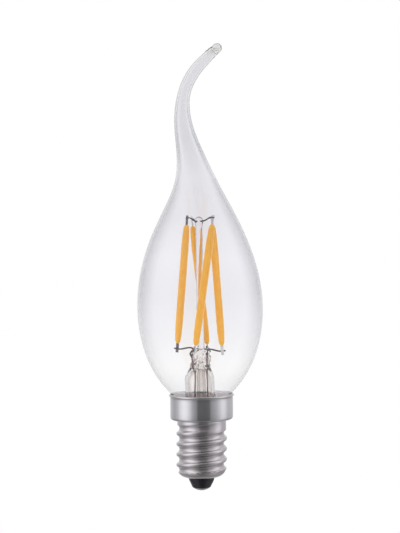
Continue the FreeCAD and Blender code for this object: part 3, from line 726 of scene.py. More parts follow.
# The tabs are one metal: the dark copy is painted shade and the pale copy painted light
SHADED_TAB = PlatedMetal("tab_metal", (0.20, 0.19, 0.20), (0.13, 0.12, 0.13), 0.32, 0.15, 0.003)
LIT_TAB = PlatedMetal(
    "tab_metal", (0.74, 0.72, 0.72), (0.60, 0.58, 0.58), 0.32, 0.15, 0.003, variant="_painted_lit",
)
WIRE_METAL = PlatedMetal(
    "wire_metal", (0.11, 0.10, 0.105), (0.06, 0.055, 0.06), 0.34, 0.15, 0.003,
    below_z=36.8, below_tint=(4.4, 3.2, 2.9),
)
PHOSPHOR = Coating()
BLACK_INSULATOR = Moulded("black_insulator", (0.006, 0.006, 0.010), (0.012, 0.012, 0.018), 0.3, 0.006, 900.0)
# The cement's glow stands for the light that the glass leads down into the collar
CEMENT = Moulded("cement", (0.82, 0.76, 0.745), (0.66, 0.60, 0.58), 0.85, 0.03, 1800.0, glow=0.28)
BOARD_LAMINATE = Moulded("board_laminate", (0.74, 0.75, 0.70), (0.62, 0.64, 0.58), 0.4)
CHIP_PLASTIC = Moulded("chip_plastic", (0.02, 0.02, 0.022), (0.035, 0.035, 0.036), 0.55)
CAN_SLEEVE = Moulded("capacitor_can", (0.03, 0.03, 0.045), (0.05, 0.05, 0.07), 0.3)
RESISTOR_CERAMIC = Moulded("resistor_ceramic", (0.02, 0.03, 0.05), (0.05, 0.06, 0.08), 0.4)


# The studio and the camera

@dataclass
class PhotoCamera:
    """The photograph's viewpoint: well back, a little above the middle of the bulb."""

    back: float = 700.0
    height: float = 108.4
    aim_z: float = 60.55
    aim_x: float = 0.135
    focal_pixels: float = 2613.0
    frame_width: float = 400.0
    sensor: float = 36.0
    roll: float = -0.89
    clip: tuple[float, float] = (0.01, 50.0)

    def build(self) -> None:
        """Makes the camera and sets it as the scene's own."""
        data = bpy.data.cameras.new("photo_camera")
        data.sensor_width = self.sensor
        data.sensor_fit = "HORIZONTAL"
        data.lens = self.focal_pixels / self.frame_width * self.sensor
        data.clip_start, data.clip_end = self.clip
        piece = link("photo_camera", data)
        place = vec((self.aim_x, -self.back, self.height))
        aim = vec((self.aim_x, 0.0, self.aim_z))
        turn = (aim - place).to_track_quat("-Z", "Y")
        spin = Matrix.Rotation(math.radians(self.roll), 4, "Z")
        piece.matrix_world = Matrix.Translation(place) @ turn.to_matrix().to_4x4() @ spin
        bpy.context.scene.camera = piece
        log.info("camera: lens %.1f mm", data.lens)


@dataclass(frozen=True)
class SoftLamp:
    """One soft rectangular lamp that faces the bulb, its turn and lift in degrees, its sizes in metres."""

    name: str
    turn: float
    lift: float
    away: float
    width: float
    height: float
    radiance: float

    def build(self, aim: Vector) -> None:
        """Hangs the lamp.

        Args:
            aim: The point it faces, in metres.
        """
        data = bpy.data.lights.new(self.name, "AREA")
        data.shape = "RECTANGLE"
        data.size, data.size_y = self.width, self.height
        data.energy = self.radiance * self.width * self.height * math.pi
        piece = link(self.name, data)
        turn, lift = math.radians(self.turn), math.radians(self.lift)
        way = Vector((math.sin(turn) * math.cos(lift), -math.cos(turn) * math.cos(lift), math.sin(lift)))
        piece.location = aim + way * self.away
        piece.rotation_euler = (-way).to_track_quat("-Z", "Y").to_euler()
        piece.visible_camera = piece.visible_transmission = piece.visible_glossy = False


# Brightness of the studio round the bulb, against the turn in degrees from the camera's side towards +X
STUDIO_BANDS: Pairs = (
    (-180.0, 0.78), (-163.0, 0.78), (-157.0, 0.56), (-146.0, 0.54), (-118.0, 0.42), (-99.0, 0.52),
    (-84.0, 0.80), (-70.0, 0.95), (-57.0, 0.90), (-45.0, 0.69), (-34.0, 0.43), (-23.0, 0.30), (-17.0, 0.25),
    (-14.5, 0.125), (15.0, 0.12), (30.0, 0.145), (33.0, 0.27), (43.0, 0.35), (55.0, 0.44), (67.5, 0.61),
    (81.0, 0.82), (90.0, 0.80), (97.0, 0.74), (106.0, 0.57), (114.0, 0.50), (137.0, 0.50), (157.0, 0.50),
    (163.0, 0.78), (180.0, 0.78),
)


@dataclass
class Studio:
    """The plain pale floor, the world and the soft lamps.

    The world's bands fade with the lift, from straight down to straight up, and some spilt light is added.
    """

    floor_z: float = -350.0
    floor_half: float = 6.0
    paper: Colour = (0.8, 0.8, 0.8)
    aim_z: float = 60.0
    band_strength: float = 1.3
    band_tint: Colour = (0.995, 0.99, 1.03)
    lift_stops: Pairs = (
        (0.0, 0.10), (0.04, 0.18), (0.10, 0.36), (0.22, 0.50), (0.34, 0.62), (0.43, 0.92), (0.47, 1.0),
        (0.86, 1.0), (1.0, 0.7),
    )
    spill_stops: Pairs = (
        (0.0, 0.11), (0.14, 0.10), (0.30, 0.0), (0.64, 0.0), (0.80, 0.07), (0.94, 0.07), (1.0, 0.0),
    )
    lamps: tuple[SoftLamp, ...] = (
        SoftLamp("left_softbox", -67.0, 8.0, 1.2, 1.0, 1.5, 1.0),
        SoftLamp("right_softbox", 92.0, 8.0, 1.2, 0.45, 1.5, 0.9),
        SoftLamp("top_softbox", 0.0, 78.0, 1.5, 1.2, 1.2, 0.9),
    )

    def build(self) -> None:
        """Builds the floor, the world and the lamps."""
        self.build_floor()
        self.build_world()
        for lamp in self.lamps:
            lamp.build(vec((0.0, 0.0, self.aim_z)))
        bpy.context.scene.view_settings.view_transform = "Standard"
        log.info("studio: %d lamps", len(self.lamps))

    def white_where_seen(
        self, nodes: NodeTree, lit: bpy.types.Node, white: bpy.types.Node
    ) -> bpy.types.Node:
        """A shader that is plain white for camera and see-through rays.

        Args:
            nodes: The tree of the material or world.
            lit: The shader for all other rays.
            white: The white shader.

        Returns:
            The mixed shader.
        """
        path = nodes.add("LightPath").outputs
        seen = nodes.math("MAXIMUM", path["Is Camera Ray"], path["Is Transmission Ray"])
        return nodes.mix_shaders(seen, lit, white)

    def build_floor(self) -> None:
        """Lays the floor under the bulb, white where it is seen."""
        half, z = self.floor_half, self.floor_z * MM
        corners = [(-half, -half, z), (half, -half, z), (half, half, z), (-half, half, z)]
        mesh = bpy.data.meshes.new("floor")
        mesh.from_pydata(corners, [], [(0, 1, 2, 3)])
        floor = link("floor", mesh)
        floor.visible_glossy = False
        material = bpy.data.materials.new("floor_paper")
        nodes = NodeTree.emptied(material)
        paper = nodes.add("BsdfDiffuse", {"Color": self.paper})
        white = nodes.add("Emission", {"Color": WHITE, "Strength": 1.0})
        nodes.add("OutputMaterial", {"Surface": self.white_where_seen(nodes, paper, white)})
        mesh.materials.append(material)

    def build_world(self) -> None:
        """Lays the studio's bands round the bulb, white where the world itself is seen."""
        world = bpy.data.worlds.new("studio")
        nodes = NodeTree.emptied(world)
        way = nodes.place_parts("Generated")
        turn = nodes.math("ARCTAN2", way["X"], nodes.math("MULTIPLY", way["Y"], -1.0))
        bands = nodes.ramp(nodes.math("MULTIPLY_ADD", turn, 0.5 / math.pi, 0.5), [
            (0.5 + degrees / 360.0, tuple(grey * part for part in self.band_tint))
            for degrees, grey in STUDIO_BANDS
        ])
        lift = nodes.math("MULTIPLY_ADD", way["Z"], 0.5, 0.5)
        shaded = nodes.blend(1.0, bands, nodes.ramp(lift, self.lift_stops), "MULTIPLY")
        summed = nodes.blend(1.0, shaded, nodes.ramp(lift, self.spill_stops), "ADD")
        dim = nodes.add("Background", {"Color": summed, "Strength": self.band_strength})
        white = nodes.add("Background", {"Color": WHITE, "Strength": 1.0})
        nodes.add("OutputWorld", {"Surface": self.white_where_seen(nodes, dim, white)})
        bpy.context.scene.world = world


# The bulb's own pieces

def settle(piece: bpy.types.Object, finish: Finish, *nodes: str) -> None:
    """Dresses a piece, lets it ride on the bulb and hides the nodes that it stands for.

    Args:
        piece: The piece, already in place.
        finish: Its finish.
        *nodes: The CAD nodes that it replaces.
    """
    finish.dress(piece)
    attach(piece, BODY)
    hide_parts(*nodes)
    log.info("%s: %d faces, %s", piece.name, len(piece.data.polygons), finish.slot)


@dataclass(frozen=True)
class Lumps:
    """Smooth unevenness: its largest move and its waves to a millimetre, and its place in the noise."""

    amount: float
    scale: float
    shift: float = 0.0

    def on(self, rings: Iterable[np.ndarray]) -> list[np.ndarray]:
        """Moves the points of rings a little.

        Args:
            rings: The rings in millimetres.

        Returns:
            The moved rings.
        """
        shift = Vector((self.shift, 0.0, 0.0))
        moved = []
        for ring in rings:
            steps = [tuple(noise.noise_vector(Vector(point) * self.scale + shift)) for point in ring]
            moved.append(ring + np.array(steps) * self.amount)
        return moved


def bubble(centre: Point, radius: float, stretch: float = 1.0, count: int = 14, end: float = 86.0) -> Skin:
    """A small hollow whose skin faces its own inside.

    Args:
        centre: Its middle in millimetres.
        radius: Its radius.
        stretch: How many times as high as wide it is.
        count: How many points each ring has.
        end: The latitude of its last rings in degrees.

    Returns:
        The vertices in metres and the faces.
    """
    x, y, z = centre
    return ring_grid([
        round_ring((x, y, z + radius * stretch * math.sin(a)), radius * math.cos(a), count)
        for a in np.radians(np.linspace(end, -end, count // 2 + 1))
    ], True)


def pill(
    centre: Vector, way: Vector, length: float, radius: float, count: int = 16, end: float = 84.0
) -> Skin:
    """A drop of melted metal, long in one direction.

    Args:
        centre: Its middle in millimetres.
        way: Its long direction.
        length: Its length.
        radius: Its greatest radius.
        count: How many points each ring has.
        end: The latitude of its last rings in degrees.

    Returns:
        The vertices in metres and the faces.
    """
    turns = np.radians(np.linspace(-end, end, count // 2 + 1))
    points = [centre + way * (length / 2 * math.sin(a)) for a in turns]
    return tube(points, [radius * math.cos(a) for a in turns], count)


@dataclass(frozen=True)
class BlownGlass:
    """The blown envelope: neck, belly and bent tail, with the tip melted shut over small air bubbles.

    Each station holds the height, the lean towards +X and the outer radius.
    """

    foot_z: float = 20.4
    stations: tuple[Point, ...] = (
        (22.8, 0.0, 7.0), (24.8, 0.0, 7.45), (28.65, 0.0, 10.25), (35.95, 0.0, 14.5), (48.75, 0.0, 16.9),
        (61.05, -0.17, 15.37), (73.15, -0.25, 10.7), (78.85, -0.43, 7.8), (83.75, -0.84, 5.6),
        (89.15, -1.76, 4.0), (94.55, -3.0, 2.98), (98.85, -3.76, 2.43), (103.05, -3.93, 2.0),
        (106.85, -3.42, 1.72), (110.55, -1.97, 1.67), (113.75, 0.2, 1.62), (116.65, 3.05, 1.46),
        (118.45, 5.0, 1.3),
    )
    wall: float = 0.6
    tail_wall: float = 0.5
    thinning: tuple[float, float] = (73.15, 83.75)
    bead_radius: float = 1.34
    bead_step: float = 0.7
    seal_share: float = 0.5
    seal_length: float = 1.3
    seal_lumps: Lumps = Lumps(0.14, 1.1)
    end_turn: float = 88.5
    end_steps: int = 16
    bubbles: int = 26
    bubble_out: tuple[float, float] = (-0.2, 1.6)
    bubble_side: tuple[float, float] = (-0.85, 0.85)
    bubble_deep: tuple[float, float] = (-0.75, 0.5)
    bubble_radius: tuple[float, float] = (0.07, 0.2)
    sides: int = 144
    steps: int = 13

    def curve(self) -> Callable:
        """The smooth line of lean, height and radius through the stations."""
        (z0, x0, r0), (z1, x1, r1) = self.stations[-2:]
        return spline([(x, z, r) for z, x, r in self.stations], (0, 1, 0), (x1 - x0, z1 - z0, r1 - r0))

    def skin(self, hollow: bool) -> list[np.ndarray]:
        """The rings of one skin, from the foot up.

        Args:
            hollow: Whether the skin of the hollow is meant, and not the outer one.

        Returns:
            The rings in millimetres.
        """
        curve = self.curve()
        last = len(self.stations) - 1 - (self.seal_share if hollow else 0.0)
        wall = self.wall if hollow else 0.0
        rings = [round_ring((0, 0, self.foot_z), self.stations[0][2] - wall, self.sides)]
        for parameter in np.linspace(0.0, last, round(last * self.steps) + 1):
            (x, z, r), (dx, dz, dr) = curve(parameter)
            lean = math.atan2(dx, dz)
            if hollow:
                slope = math.atan2(dr, math.hypot(dx, dz))
                wall = float(np.interp(z, self.thinning, (self.wall, self.tail_wall)))
                r -= wall * math.cos(slope)
                x += wall * math.sin(slope) * math.sin(lean)
                z += wall * math.sin(slope) * math.cos(lean)
            rings.append(round_ring((x, 0, z), r, self.sides, lean))
        width = r if hollow else self.bead_radius
        length, step = (r * self.seal_length, 0.0) if hollow else (width, self.bead_step)
        start = 0.0 if hollow else -math.acos(r / width)
        for a in np.linspace(start, math.radians(self.end_turn), self.end_steps)[1:]:
            out = step + length * math.sin(a)
            middle = (x + out * math.sin(lean), 0, z + out * math.cos(lean))
            rings.append(round_ring(middle, width * math.cos(a), self.sides, lean))
        return rings

    def tip_bubbles(self) -> list[Skin]:
        """Makes small round hollows in the solid glass of the tip.

        Returns:
            Their skins.
        """
        dice = random.Random(11)
        (x, z, _), (dx, dz, _) = self.curve()(len(self.stations) - 1)
        lean = math.atan2(dx, dz)
        made = []
        for _ in range(self.bubbles):
            out, side, deep = (
                dice.uniform(*span) for span in (self.bubble_out, self.bubble_side, self.bubble_deep)
            )
            centre = (
                x + out * math.sin(lean) + side * math.cos(lean),
                deep,
                z + out * math.cos(lean) - side * math.sin(lean),
            )
            made.append(bubble(centre, dice.uniform(*self.bubble_radius)))
        return made

    def build(self) -> None:
        """Makes the envelope and puts it in place of its node."""
        melted = self.steps + self.end_steps - 1
        outer = self.skin(False)
        outer[-melted:] = self.seal_lumps.on(outer[-melted:])
        rings = self.skin(True)[::-1] + outer
        piece = mesh_from("blown_glass", [ring_grid(rings, True)] + self.tip_bubbles(), 70.0)
        settle(piece, ENVELOPE_GLASS, "glass_envelope")


def askew(ring: np.ndarray, share: float = 0.0157, pivot_z: float = 22.7) -> np.ndarray:
    """A ring of the cap moved sideways, as the cap sits a hair askew on the glass.

    Args:
        ring: The ring in millimetres.
        share: The move for each millimetre below the pivot.
        pivot_z: The height above which nothing moves.

    Returns:
        The moved ring.
    """
    moved = ring.copy()
    moved[:, 0] -= share * np.maximum(pivot_z - ring[:, 2], 0.0)
    return moved


def askew_piece(
    name: str, rings: Iterable[np.ndarray], closed: bool = False, sharp_angle: float = 40.0
) -> bpy.types.Object:
    """One piece of the cap through its rings, set askew with the others."""
    return mesh_from(name, [ring_grid([askew(ring) for ring in rings], closed)], sharp_angle)


@dataclass(frozen=True)
class CapSheet:
    """The drawn and rolled cap: mouth, round thread that fades into the neck, collar and rolled rim.

    The lip and the wall under it are given by how far out and how far below the rim's top they lie, and the
    mouth by the height and the radius that the thread stays within.
    """

    crest_radius: float = 6.85
    crest_arc: float = 0.65
    root_arc: float = 0.99
    pitch: float = 2.822
    last_crest_z: float = 15.55
    fade_turn: float = 0.9 * math.pi
    neck_radius: float = 6.6
    neck_top_z: float = 19.3
    neck_ease: float = 0.06
    inner_ease: float = 0.2
    collar_radius: float = 8.5
    collar_corner: float = 0.8
    wall_drops: tuple[float, ...] = (4.5, 3.0, 1.6, 0.9)
    rim_z: float = 26.15
    rim_lip: float = 0.3
    lip: Pairs = (
        (0.1, 0.62), (0.42, 0.52), (0.85, 0.42), (1.0, 0.30), (1.0, 0.18), (0.85, 0.08), (0.55, 0.0),
        (0.25, 0.04), (0.02, 0.2), (-0.5, 0.5),
    )
    lip_drop: float = 0.85
    wall: float = 0.3
    mouth: Pairs = (
        (3.40, 3.45), (3.50, 3.80), (3.63, 4.20), (3.76, 4.66), (3.90, 5.05), (4.17, 5.52), (4.44, 5.85),
        (4.70, 6.10), (4.97, 6.28), (5.30, 6.46), (5.70, 6.64), (6.20, 6.85), (7.00, 7.20),
    )
    mouth_height: float = 0.75
    mouth_rows: int = 10
    neck_gap: float = 0.1
    rows: int = 175
    inner_start: int = 4
    inner_step: int = 3
    sides: int = 192

    def arc_reach(self) -> float:
        """The sine of the angle that the thread's arcs turn through on each side."""
        return self.pitch / 2 / (self.crest_arc + self.root_arc)

    def depth(self) -> float:
        """How high the thread's crest stands over its root."""
        return (self.crest_arc + self.root_arc) * (1 - math.sqrt(1 - self.arc_reach() ** 2))

    def knuckle(self, turns: np.ndarray) -> np.ndarray:
        """The height of the thread's ridge over its root.

        Args:
            turns: How many pitches away a crest is.

        Returns:
            The heights in millimetres.
        """
        away = np.abs(turns - np.round(turns)) * self.pitch
        crest = self.depth() - self.crest_arc + np.sqrt(np.maximum(self.crest_arc ** 2 - away ** 2, 0))
        root = self.root_arc - np.sqrt(np.maximum(self.root_arc ** 2 - (self.pitch / 2 - away) ** 2, 0))
        return np.where(away < self.crest_arc * self.arc_reach(), crest, root)

    def ring(self, z: float, inset: float = 0.0) -> np.ndarray:
        """One ring of the threaded part.

        Args:
            z: Its height in millimetres.
            inset: How far its face lies within the outer one.

        Returns:
            The ring's points.
        """
        turn = np.mod(np.arange(self.sides) * (2 * math.pi / self.sides) - math.pi, 2 * math.pi)
        t = (z - self.last_crest_z) / self.pitch - turn / (2 * math.pi)
        root = self.crest_radius - self.depth()
        neck = self.neck_radius - root
        ridge = self.knuckle(t)
        merged = np.where(t < 0, np.minimum(ridge, neck), neck)
        split = np.where(t < 0.5, ridge, np.where(t < 1.0, np.minimum(ridge, neck), neck))
        share = np.clip(1 - turn / self.fade_turn, 0, 1)
        share = share * share * (3 - 2 * share)
        height = np.where(t <= -0.5, ridge, merged * (1 - share) + split * share)
        limit = float(np.interp(z - inset, *zip(*self.mouth)))
        return round_ring((0, 0, z), np.minimum(root + height - inset, limit), self.sides)

    def collar(self) -> list[tuple[float, float]]:
        """The outline from the neck up over the rolled rim and down inside the collar.

        Returns:
            Points (radius, height) in millimetres.
        """
        wide, ease = self.collar_radius, self.neck_ease
        corner = (wide - self.collar_corner, self.neck_top_z + self.collar_corner)
        points = [(self.neck_radius, self.neck_top_z - ease), (self.neck_radius + ease, self.neck_top_z)]
        points += arc_points(corner, self.collar_corner, -90, 0, 8)
        points += [(wide, self.rim_z - drop) for drop in self.wall_drops]
        points += [(wide + self.rim_lip * out, self.rim_z - drop) for out, drop in self.lip]
        inside = wide - self.wall
        points += [(inside, self.rim_z - self.lip_drop), (inside, corner[1] + self.inner_ease)]
        points += arc_points(corner, self.collar_corner - self.wall, 0, -90, 5)
        points.append((self.neck_radius - self.wall, self.neck_top_z + self.wall))
        return points

    def build(self) -> None:
        """Makes the cap and puts it in place of its node."""
        low = self.mouth[0][0]
        heights = np.concatenate((
            np.linspace(low, low + self.mouth_height, self.mouth_rows)[:-1],
            np.linspace(low + self.mouth_height, self.neck_top_z - self.neck_gap, self.rows),
        ))
        rings = [self.ring(z) for z in heights] + turned(self.collar(), self.sides)
        rings += [self.ring(z, self.wall) for z in heights[self.inner_start::self.inner_step][::-1]]
        settle(askew_piece("cap_sheet", rings + rings[:1], False, 50.0), CAP_NICKEL, "cap_shell")


@dataclass(frozen=True)
class CementRing:
    """The baked cement between the glass and the collar, drawn up a little at both."""

    outline: Pairs = (
        (7.12, 20.7), (8.1, 20.7), (8.14, 24.0), (8.15, 25.1), (8.31, 25.46), (8.4, 25.64), (8.2, 25.68),
        (8.02, 25.62), (7.9, 25.48), (7.72, 25.22), (7.55, 24.9), (7.36, 24.3), (7.14, 23.4),
    )
    crest: tuple[int, int] = (6, 8)
    lumps: Lumps = Lumps(0.04, 1.5, 2.0)
    sides: int = 144

    def build(self) -> None:
        """Makes the ring and puts it in place of its node."""
        rings = turned(self.outline, self.sides)
        first, last = self.crest
        rings[first:last] = self.lumps.on(rings[first:last])
        settle(askew_piece("cement_ring", rings + rings[:1]), CEMENT, "basing_cement")


@dataclass(frozen=True)
class CapFoot:
    """The black glass insulator and the soldered contact in its middle, as (radius, height) outlines."""

    insulator: Pairs = (
        (0.5, 0.95), (1.9, 0.80), (2.2, 0.78), (2.42, 0.90), (2.58, 1.16), (2.74, 1.5), (2.92, 1.88),
        (3.14, 2.35), (3.34, 2.8), (3.46, 3.15), (3.5, 3.5), (3.3, 3.8), (0.5, 4.1),
    )
    contact: Pairs = (
        (0.05, 0.0), (0.45, 0.03), (0.95, 0.13), (1.45, 0.31), (1.85, 0.52), (2.06, 0.68), (2.08, 0.82),
        (1.9, 0.95), (0.6, 0.98),
    )
    glass_lumps: Lumps = Lumps(0.035, 0.9, 3.0)
    solder_lumps: Lumps = Lumps(0.10, 1.3, 6.0)
    least_radius: float = 0.02
    steps: int = 6
    sides: int = 96

    def lathe(self, outline: Pairs) -> list[np.ndarray]:
        """Rings through an outline whose points are joined by a smooth curve.

        Args:
            outline: Its points (radius, height) in millimetres.

        Returns:
            The rings.
        """
        ahead = (outline[1][0] - outline[0][0], outline[1][1] - outline[0][1])
        behind = (outline[-1][0] - outline[-2][0], outline[-1][1] - outline[-2][1])
        curve = spline(outline, ahead, behind)
        last = len(outline) - 1
        points = [curve(u)[0] for u in np.linspace(0, last, self.steps * last + 1)]
        return turned([(max(r, self.least_radius), z) for r, z in points], self.sides)

    def build(self) -> None:
        """Makes both pieces and puts them in place of their nodes."""
        glass = self.glass_lumps.on(self.lathe(self.insulator))
        settle(askew_piece("foot_glass", glass, True), BLACK_INSULATOR, "insulator")
        level = self.lathe(self.contact)
        solder = self.solder_lumps.on(level)
        for lumpy, ring in zip(solder, level):
            lumpy[:, 2] = ring[:, 2]
        settle(askew_piece("foot_contact", solder, True), CONTACT_METAL, "centre_contact")


@dataclass(frozen=True)
class Strip:
    """Where one filament strip stands and where its wires are welded."""

    place: Place
    foot: Point
    head: Point
    head_corner: Point
    foot_corner: Point
    face: int
    tab_thickness: float = 0.25
    head_hold: float = 1.8
    foot_hold: float = 1.4
    overrun: float = 0.8

    def way(self) -> Vector:
        """The direction from its foot to its head."""
        return (Vector(self.head) - Vector(self.foot)).normalized()

    def hold(self, at_head: bool) -> Vector:
        """The middle of the weld on one of its tabs.

        Args:
            at_head: Whether it is the upper tab.

        Returns:
            The point.
        """
        if at_head:
            return Vector(self.head) + self.way() * self.head_hold
        return Vector(self.foot) - self.way() * self.foot_hold

    def axes(self, at_head: bool, wire_radius: float) -> tuple[Vector, Vector]:
        """How one of its tabs is turned.

        Args:
            at_head: Whether the upper tab is meant.
            wire_radius: The radius of the wire welded to it.

        Returns:
            The tab's direction outwards and through its thickness.
        """
        corner = Vector(self.head_corner if at_head else self.foot_corner)
        reach = self.hold(at_head) - corner
        level = reach - self.way() * reach.dot(self.way())
        turn = self.face * math.asin((self.tab_thickness / 2 + wire_radius) / level.length)
        direct = level.normalized()
        outward = direct * math.cos(turn) + self.way().cross(direct) * math.sin(turn)
        return outward, self.way().cross(outward)

    def weld_line(self, at_head: bool, wire_radius: float) -> tuple[Vector, Vector]:
        """Where the wire runs straight along one of its tabs.

        Args:
            at_head: Whether the upper tab is meant.
            wire_radius: The wire's radius.

        Returns:
            The inner and the outer end of the run.
        """
        outward, across = self.axes(at_head, wire_radius)
        centre = self.hold(at_head) + across * (self.face * (self.tab_thickness / 2 + wire_radius))
        return centre - outward * self.overrun, centre + outward * self.overrun


@dataclass(frozen=True)
class StripCircle:
    """A circle of strip ends: the left one's angle in degrees, and the rear and front ones moved to +X."""

    width: float
    angle: float
    centre: float
    shift: float

    def spot(self, i: int) -> tuple[float, float]:
        """Where the end of one strip stands, in X and Y."""
        turn, r = math.radians(self.angle - 90 * i), self.width / 2
        return r * math.cos(turn) + self.centre + self.shift * (i % 2), r * math.sin(turn)


@dataclass(frozen=True)
class LightStrips:
    """The four coated strips, the metal tabs at their ends and the wires that join them.

    A wave of the coating holds its scale, its step from strip to strip, its place in the noise and its share.
    """

    feet: StripCircle = StripCircle(12.3, 165.4, -0.27, 0.46)
    heads: StripCircle = StripCircle(8.7, 217.0, 0.22, 0.7)
    foot_z: float = 39.5
    foot_rises: tuple[float, ...] = (0.3, -0.5, -0.2, 0.4)
    length: float = 32.5
    radius: float = 1.0
    end_radius: float = 0.36
    taper: float = 1.2
    swell: float = 6.5
    drawn_in: float = 0.31
    unevenness: float = 0.035
    waves: tuple[tuple[float, float, float, float], ...] = ((0.45, 7.3, 0.0, 1.0), (1.7, 3.1, 5.0, 0.5))
    rows: int = 96
    end_rows: int = 12
    coat_sides: int = 36
    wire_sides: int = 16
    wire_steps: int = 12
    tab_size: Point = (0.8, 0.25, 2.5)
    tab_grid: tuple[int, int] = (10, 20)
    tab_bevel: float = 0.06
    tab_thinning: float = 0.45
    dent_size: tuple[float, float] = (0.3, 0.35)
    dent_depth: float = 0.06
    wire_radius: float = 0.21
    wire_end: float = 0.8
    weld_size: tuple[float, float] = (3.2, 1.35)
    upper_radius: float = 0.16
    upper_gap: float = 0.4
    upper_sag: Point = (0.0, 0.0, -0.22)
    sag_at: float = 0.55
    weld_shift: float = 0.3
    post_top: float = 72.6
    lead_x: float = 1.6
    lead_shift: tuple[float, float] = (-0.05, -1.0)
    lead_turn: float = 38.9
    arm_start: Point = (1.6, 0.3, 38.85)
    arm_rise: Point = (0.0, 0.0, 0.25)
    board_x: float = 1.65
    board_z: float = 16.6
    flare_z: float = 31.05
    under_flare: float = 3.5
    press_z: float = 33.95
    under_press: float = 2.2
    left_top: tuple[Point, ...] = (
        (-2.2, -0.4, 34.6), (-2.5, -0.45, 36.3), (-2.85, -0.4, 37.15), (-2.4, -0.15, 37.7),
        (-1.95, 0.15, 37.95), (-2.3, 0.1, 38.55), (-3.0, 0.0, 38.75),
    )
    right_top: tuple[Point, ...] = (
        (1.5, -0.4, 34.6), (1.6, -0.3, 36.4), (1.68, -0.1, 37.75), (2.1, 0.0, 38.15), (2.9, -0.2, 38.2),
    )

    def strips(self) -> list[Strip]:
        """Places the strips.

        Returns:
            The four strips in the order left, rear, right and front.
        """
        (x, y, z), lead = self.arm_start, self.lead_x
        corners = ((-lead, 0.0, self.lead_turn), (x, y, z), (lead, 0.0, self.lead_turn), (-x, -y, z))
        made = []
        for i, place in enumerate(Place):
            (foot_x, foot_y), (head_x, head_y) = self.feet.spot(i), self.heads.spot(i)
            foot_z = self.foot_z + self.foot_rises[i]
            rise = math.sqrt(self.length ** 2 - (head_x - foot_x) ** 2 - (head_y - foot_y) ** 2)
            head_corner = (-self.upper_gap if i < 2 else self.upper_gap, 0.0, self.post_top)
            foot, head = (foot_x, foot_y, foot_z), (head_x, head_y, foot_z + rise)
            made.append(Strip(place, foot, head, head_corner, corners[i], 1 - 2 * (i % 2)))
        return made

    def build_coating(self, strip: Strip, seed: int) -> None:
        """Makes one strip's coat, a little uneven, with rounded ends.

        Args:
            strip: The strip.
            seed: Its number, which places it in the noise.
        """
        points, radii = [], []
        along = np.concatenate((
            self.taper * (1 - np.cos(np.linspace(0, math.pi / 2, self.end_rows)))[:-1],
            np.linspace(self.taper, self.length - self.taper, self.rows),
            self.length - self.taper * (1 - np.cos(np.linspace(math.pi / 2, 0, self.end_rows)))[1:],
        ))
        for s in along:
            near = min(s, self.length - s, self.taper) / self.taper
            far = min(s, self.length - s, self.swell) / self.swell
            full = self.end_radius + (self.radius - self.end_radius) * math.sqrt(1 - (1 - near) ** 2)
            full *= 1 - self.drawn_in * (1 - far) ** 2
            wave = sum(
                share * noise.noise(Vector((s * scale, seed * step, layer)))
                for scale, step, layer, share in self.waves
            )
            points.append(Vector(strip.foot) + strip.way() * s)
            radii.append(full + self.unevenness * wave * near)
        piece = mesh_from("coating_" + strip.place.value, [tube(points, radii, self.coat_sides)])
        settle(piece, PHOSPHOR, "filament_" + strip.place.value)

    def tab_shape(self, hold: float, face: int) -> bmesh.types.BMesh:
        """A flat upright plate with soft edges and a pressed weld spot.

        Args:
            hold: The height of the weld spot over the plate's middle.
            face: The side on which the wire lies, 1 or -1.

        Returns:
            The plate in millimetres, with its middle at the origin.
        """
        width, thickness, length = self.tab_size
        columns, rows = self.tab_grid
        shape = bmesh.new()
        bmesh.ops.create_grid(shape, x_segments=columns, y_segments=rows, size=0.5)
        for vert in shape.verts:
            vert.co = Vector((vert.co.x * width, vert.co.y * length, 0.0))
        bmesh.ops.solidify(shape, geom=shape.faces[:], thickness=thickness)
        low = min(v.co.z for v in shape.verts)
        for vert in shape.verts:
            x, y, z = vert.co.x, vert.co.y, vert.co.z - low - thickness / 2
            edge = max(0.0, abs(x) - width / 2 + self.tab_bevel, abs(y) - length / 2 + self.tab_bevel)
            z *= 1 - self.tab_thinning * edge / self.tab_bevel
            dent = math.exp(-((x / self.dent_size[0]) ** 2 + ((y - hold) / self.dent_size[1]) ** 2))
            z -= self.dent_depth * dent if z < 0 else 0.0
            vert.co = Vector((x, z * -face, y))
        return shape

    def build_tab(self, strip: Strip, at_head: bool) -> None:
        """Makes one tab and puts it in place of its node.

        Args:
            strip: The strip that it belongs to.
            at_head: Whether it is the upper tab.
        """
        outward, across = strip.axes(at_head, self.upper_radius if at_head else self.wire_radius)
        length = self.tab_size[2]
        shape = self.tab_shape((strip.head_hold if at_head else strip.foot_hold) - length / 2, strip.face)
        middle = strip.way() * (length / 2)
        base = Vector(strip.head) + middle if at_head else Vector(strip.foot) - middle
        up = strip.way() if at_head else -strip.way()
        turn = Matrix((outward, across, up)).transposed().to_4x4()
        shape.transform(Matrix.Scale(MM, 4) @ Matrix.Translation(base) @ turn)
        bmesh.ops.recalc_face_normals(shape, faces=shape.faces)
        end = "upper" if at_head else "lower"
        mesh = bpy.data.meshes.new(f"plate_{end}_{strip.place.value}")
        shape.to_mesh(mesh)
        shape.free()
        shade_smooth(mesh)
        # Painted light and shade: these tabs get the lit pale copy of the metal, the others the shaded dark
        # copy
        pale = strip.place in (Place.RIGHT, Place.FRONT) or (at_head and strip.place is Place.REAR)
        finish = LIT_TAB if pale else SHADED_TAB
        settle(link(mesh.name, mesh), finish, f"{end}_tab_{strip.place.value}")

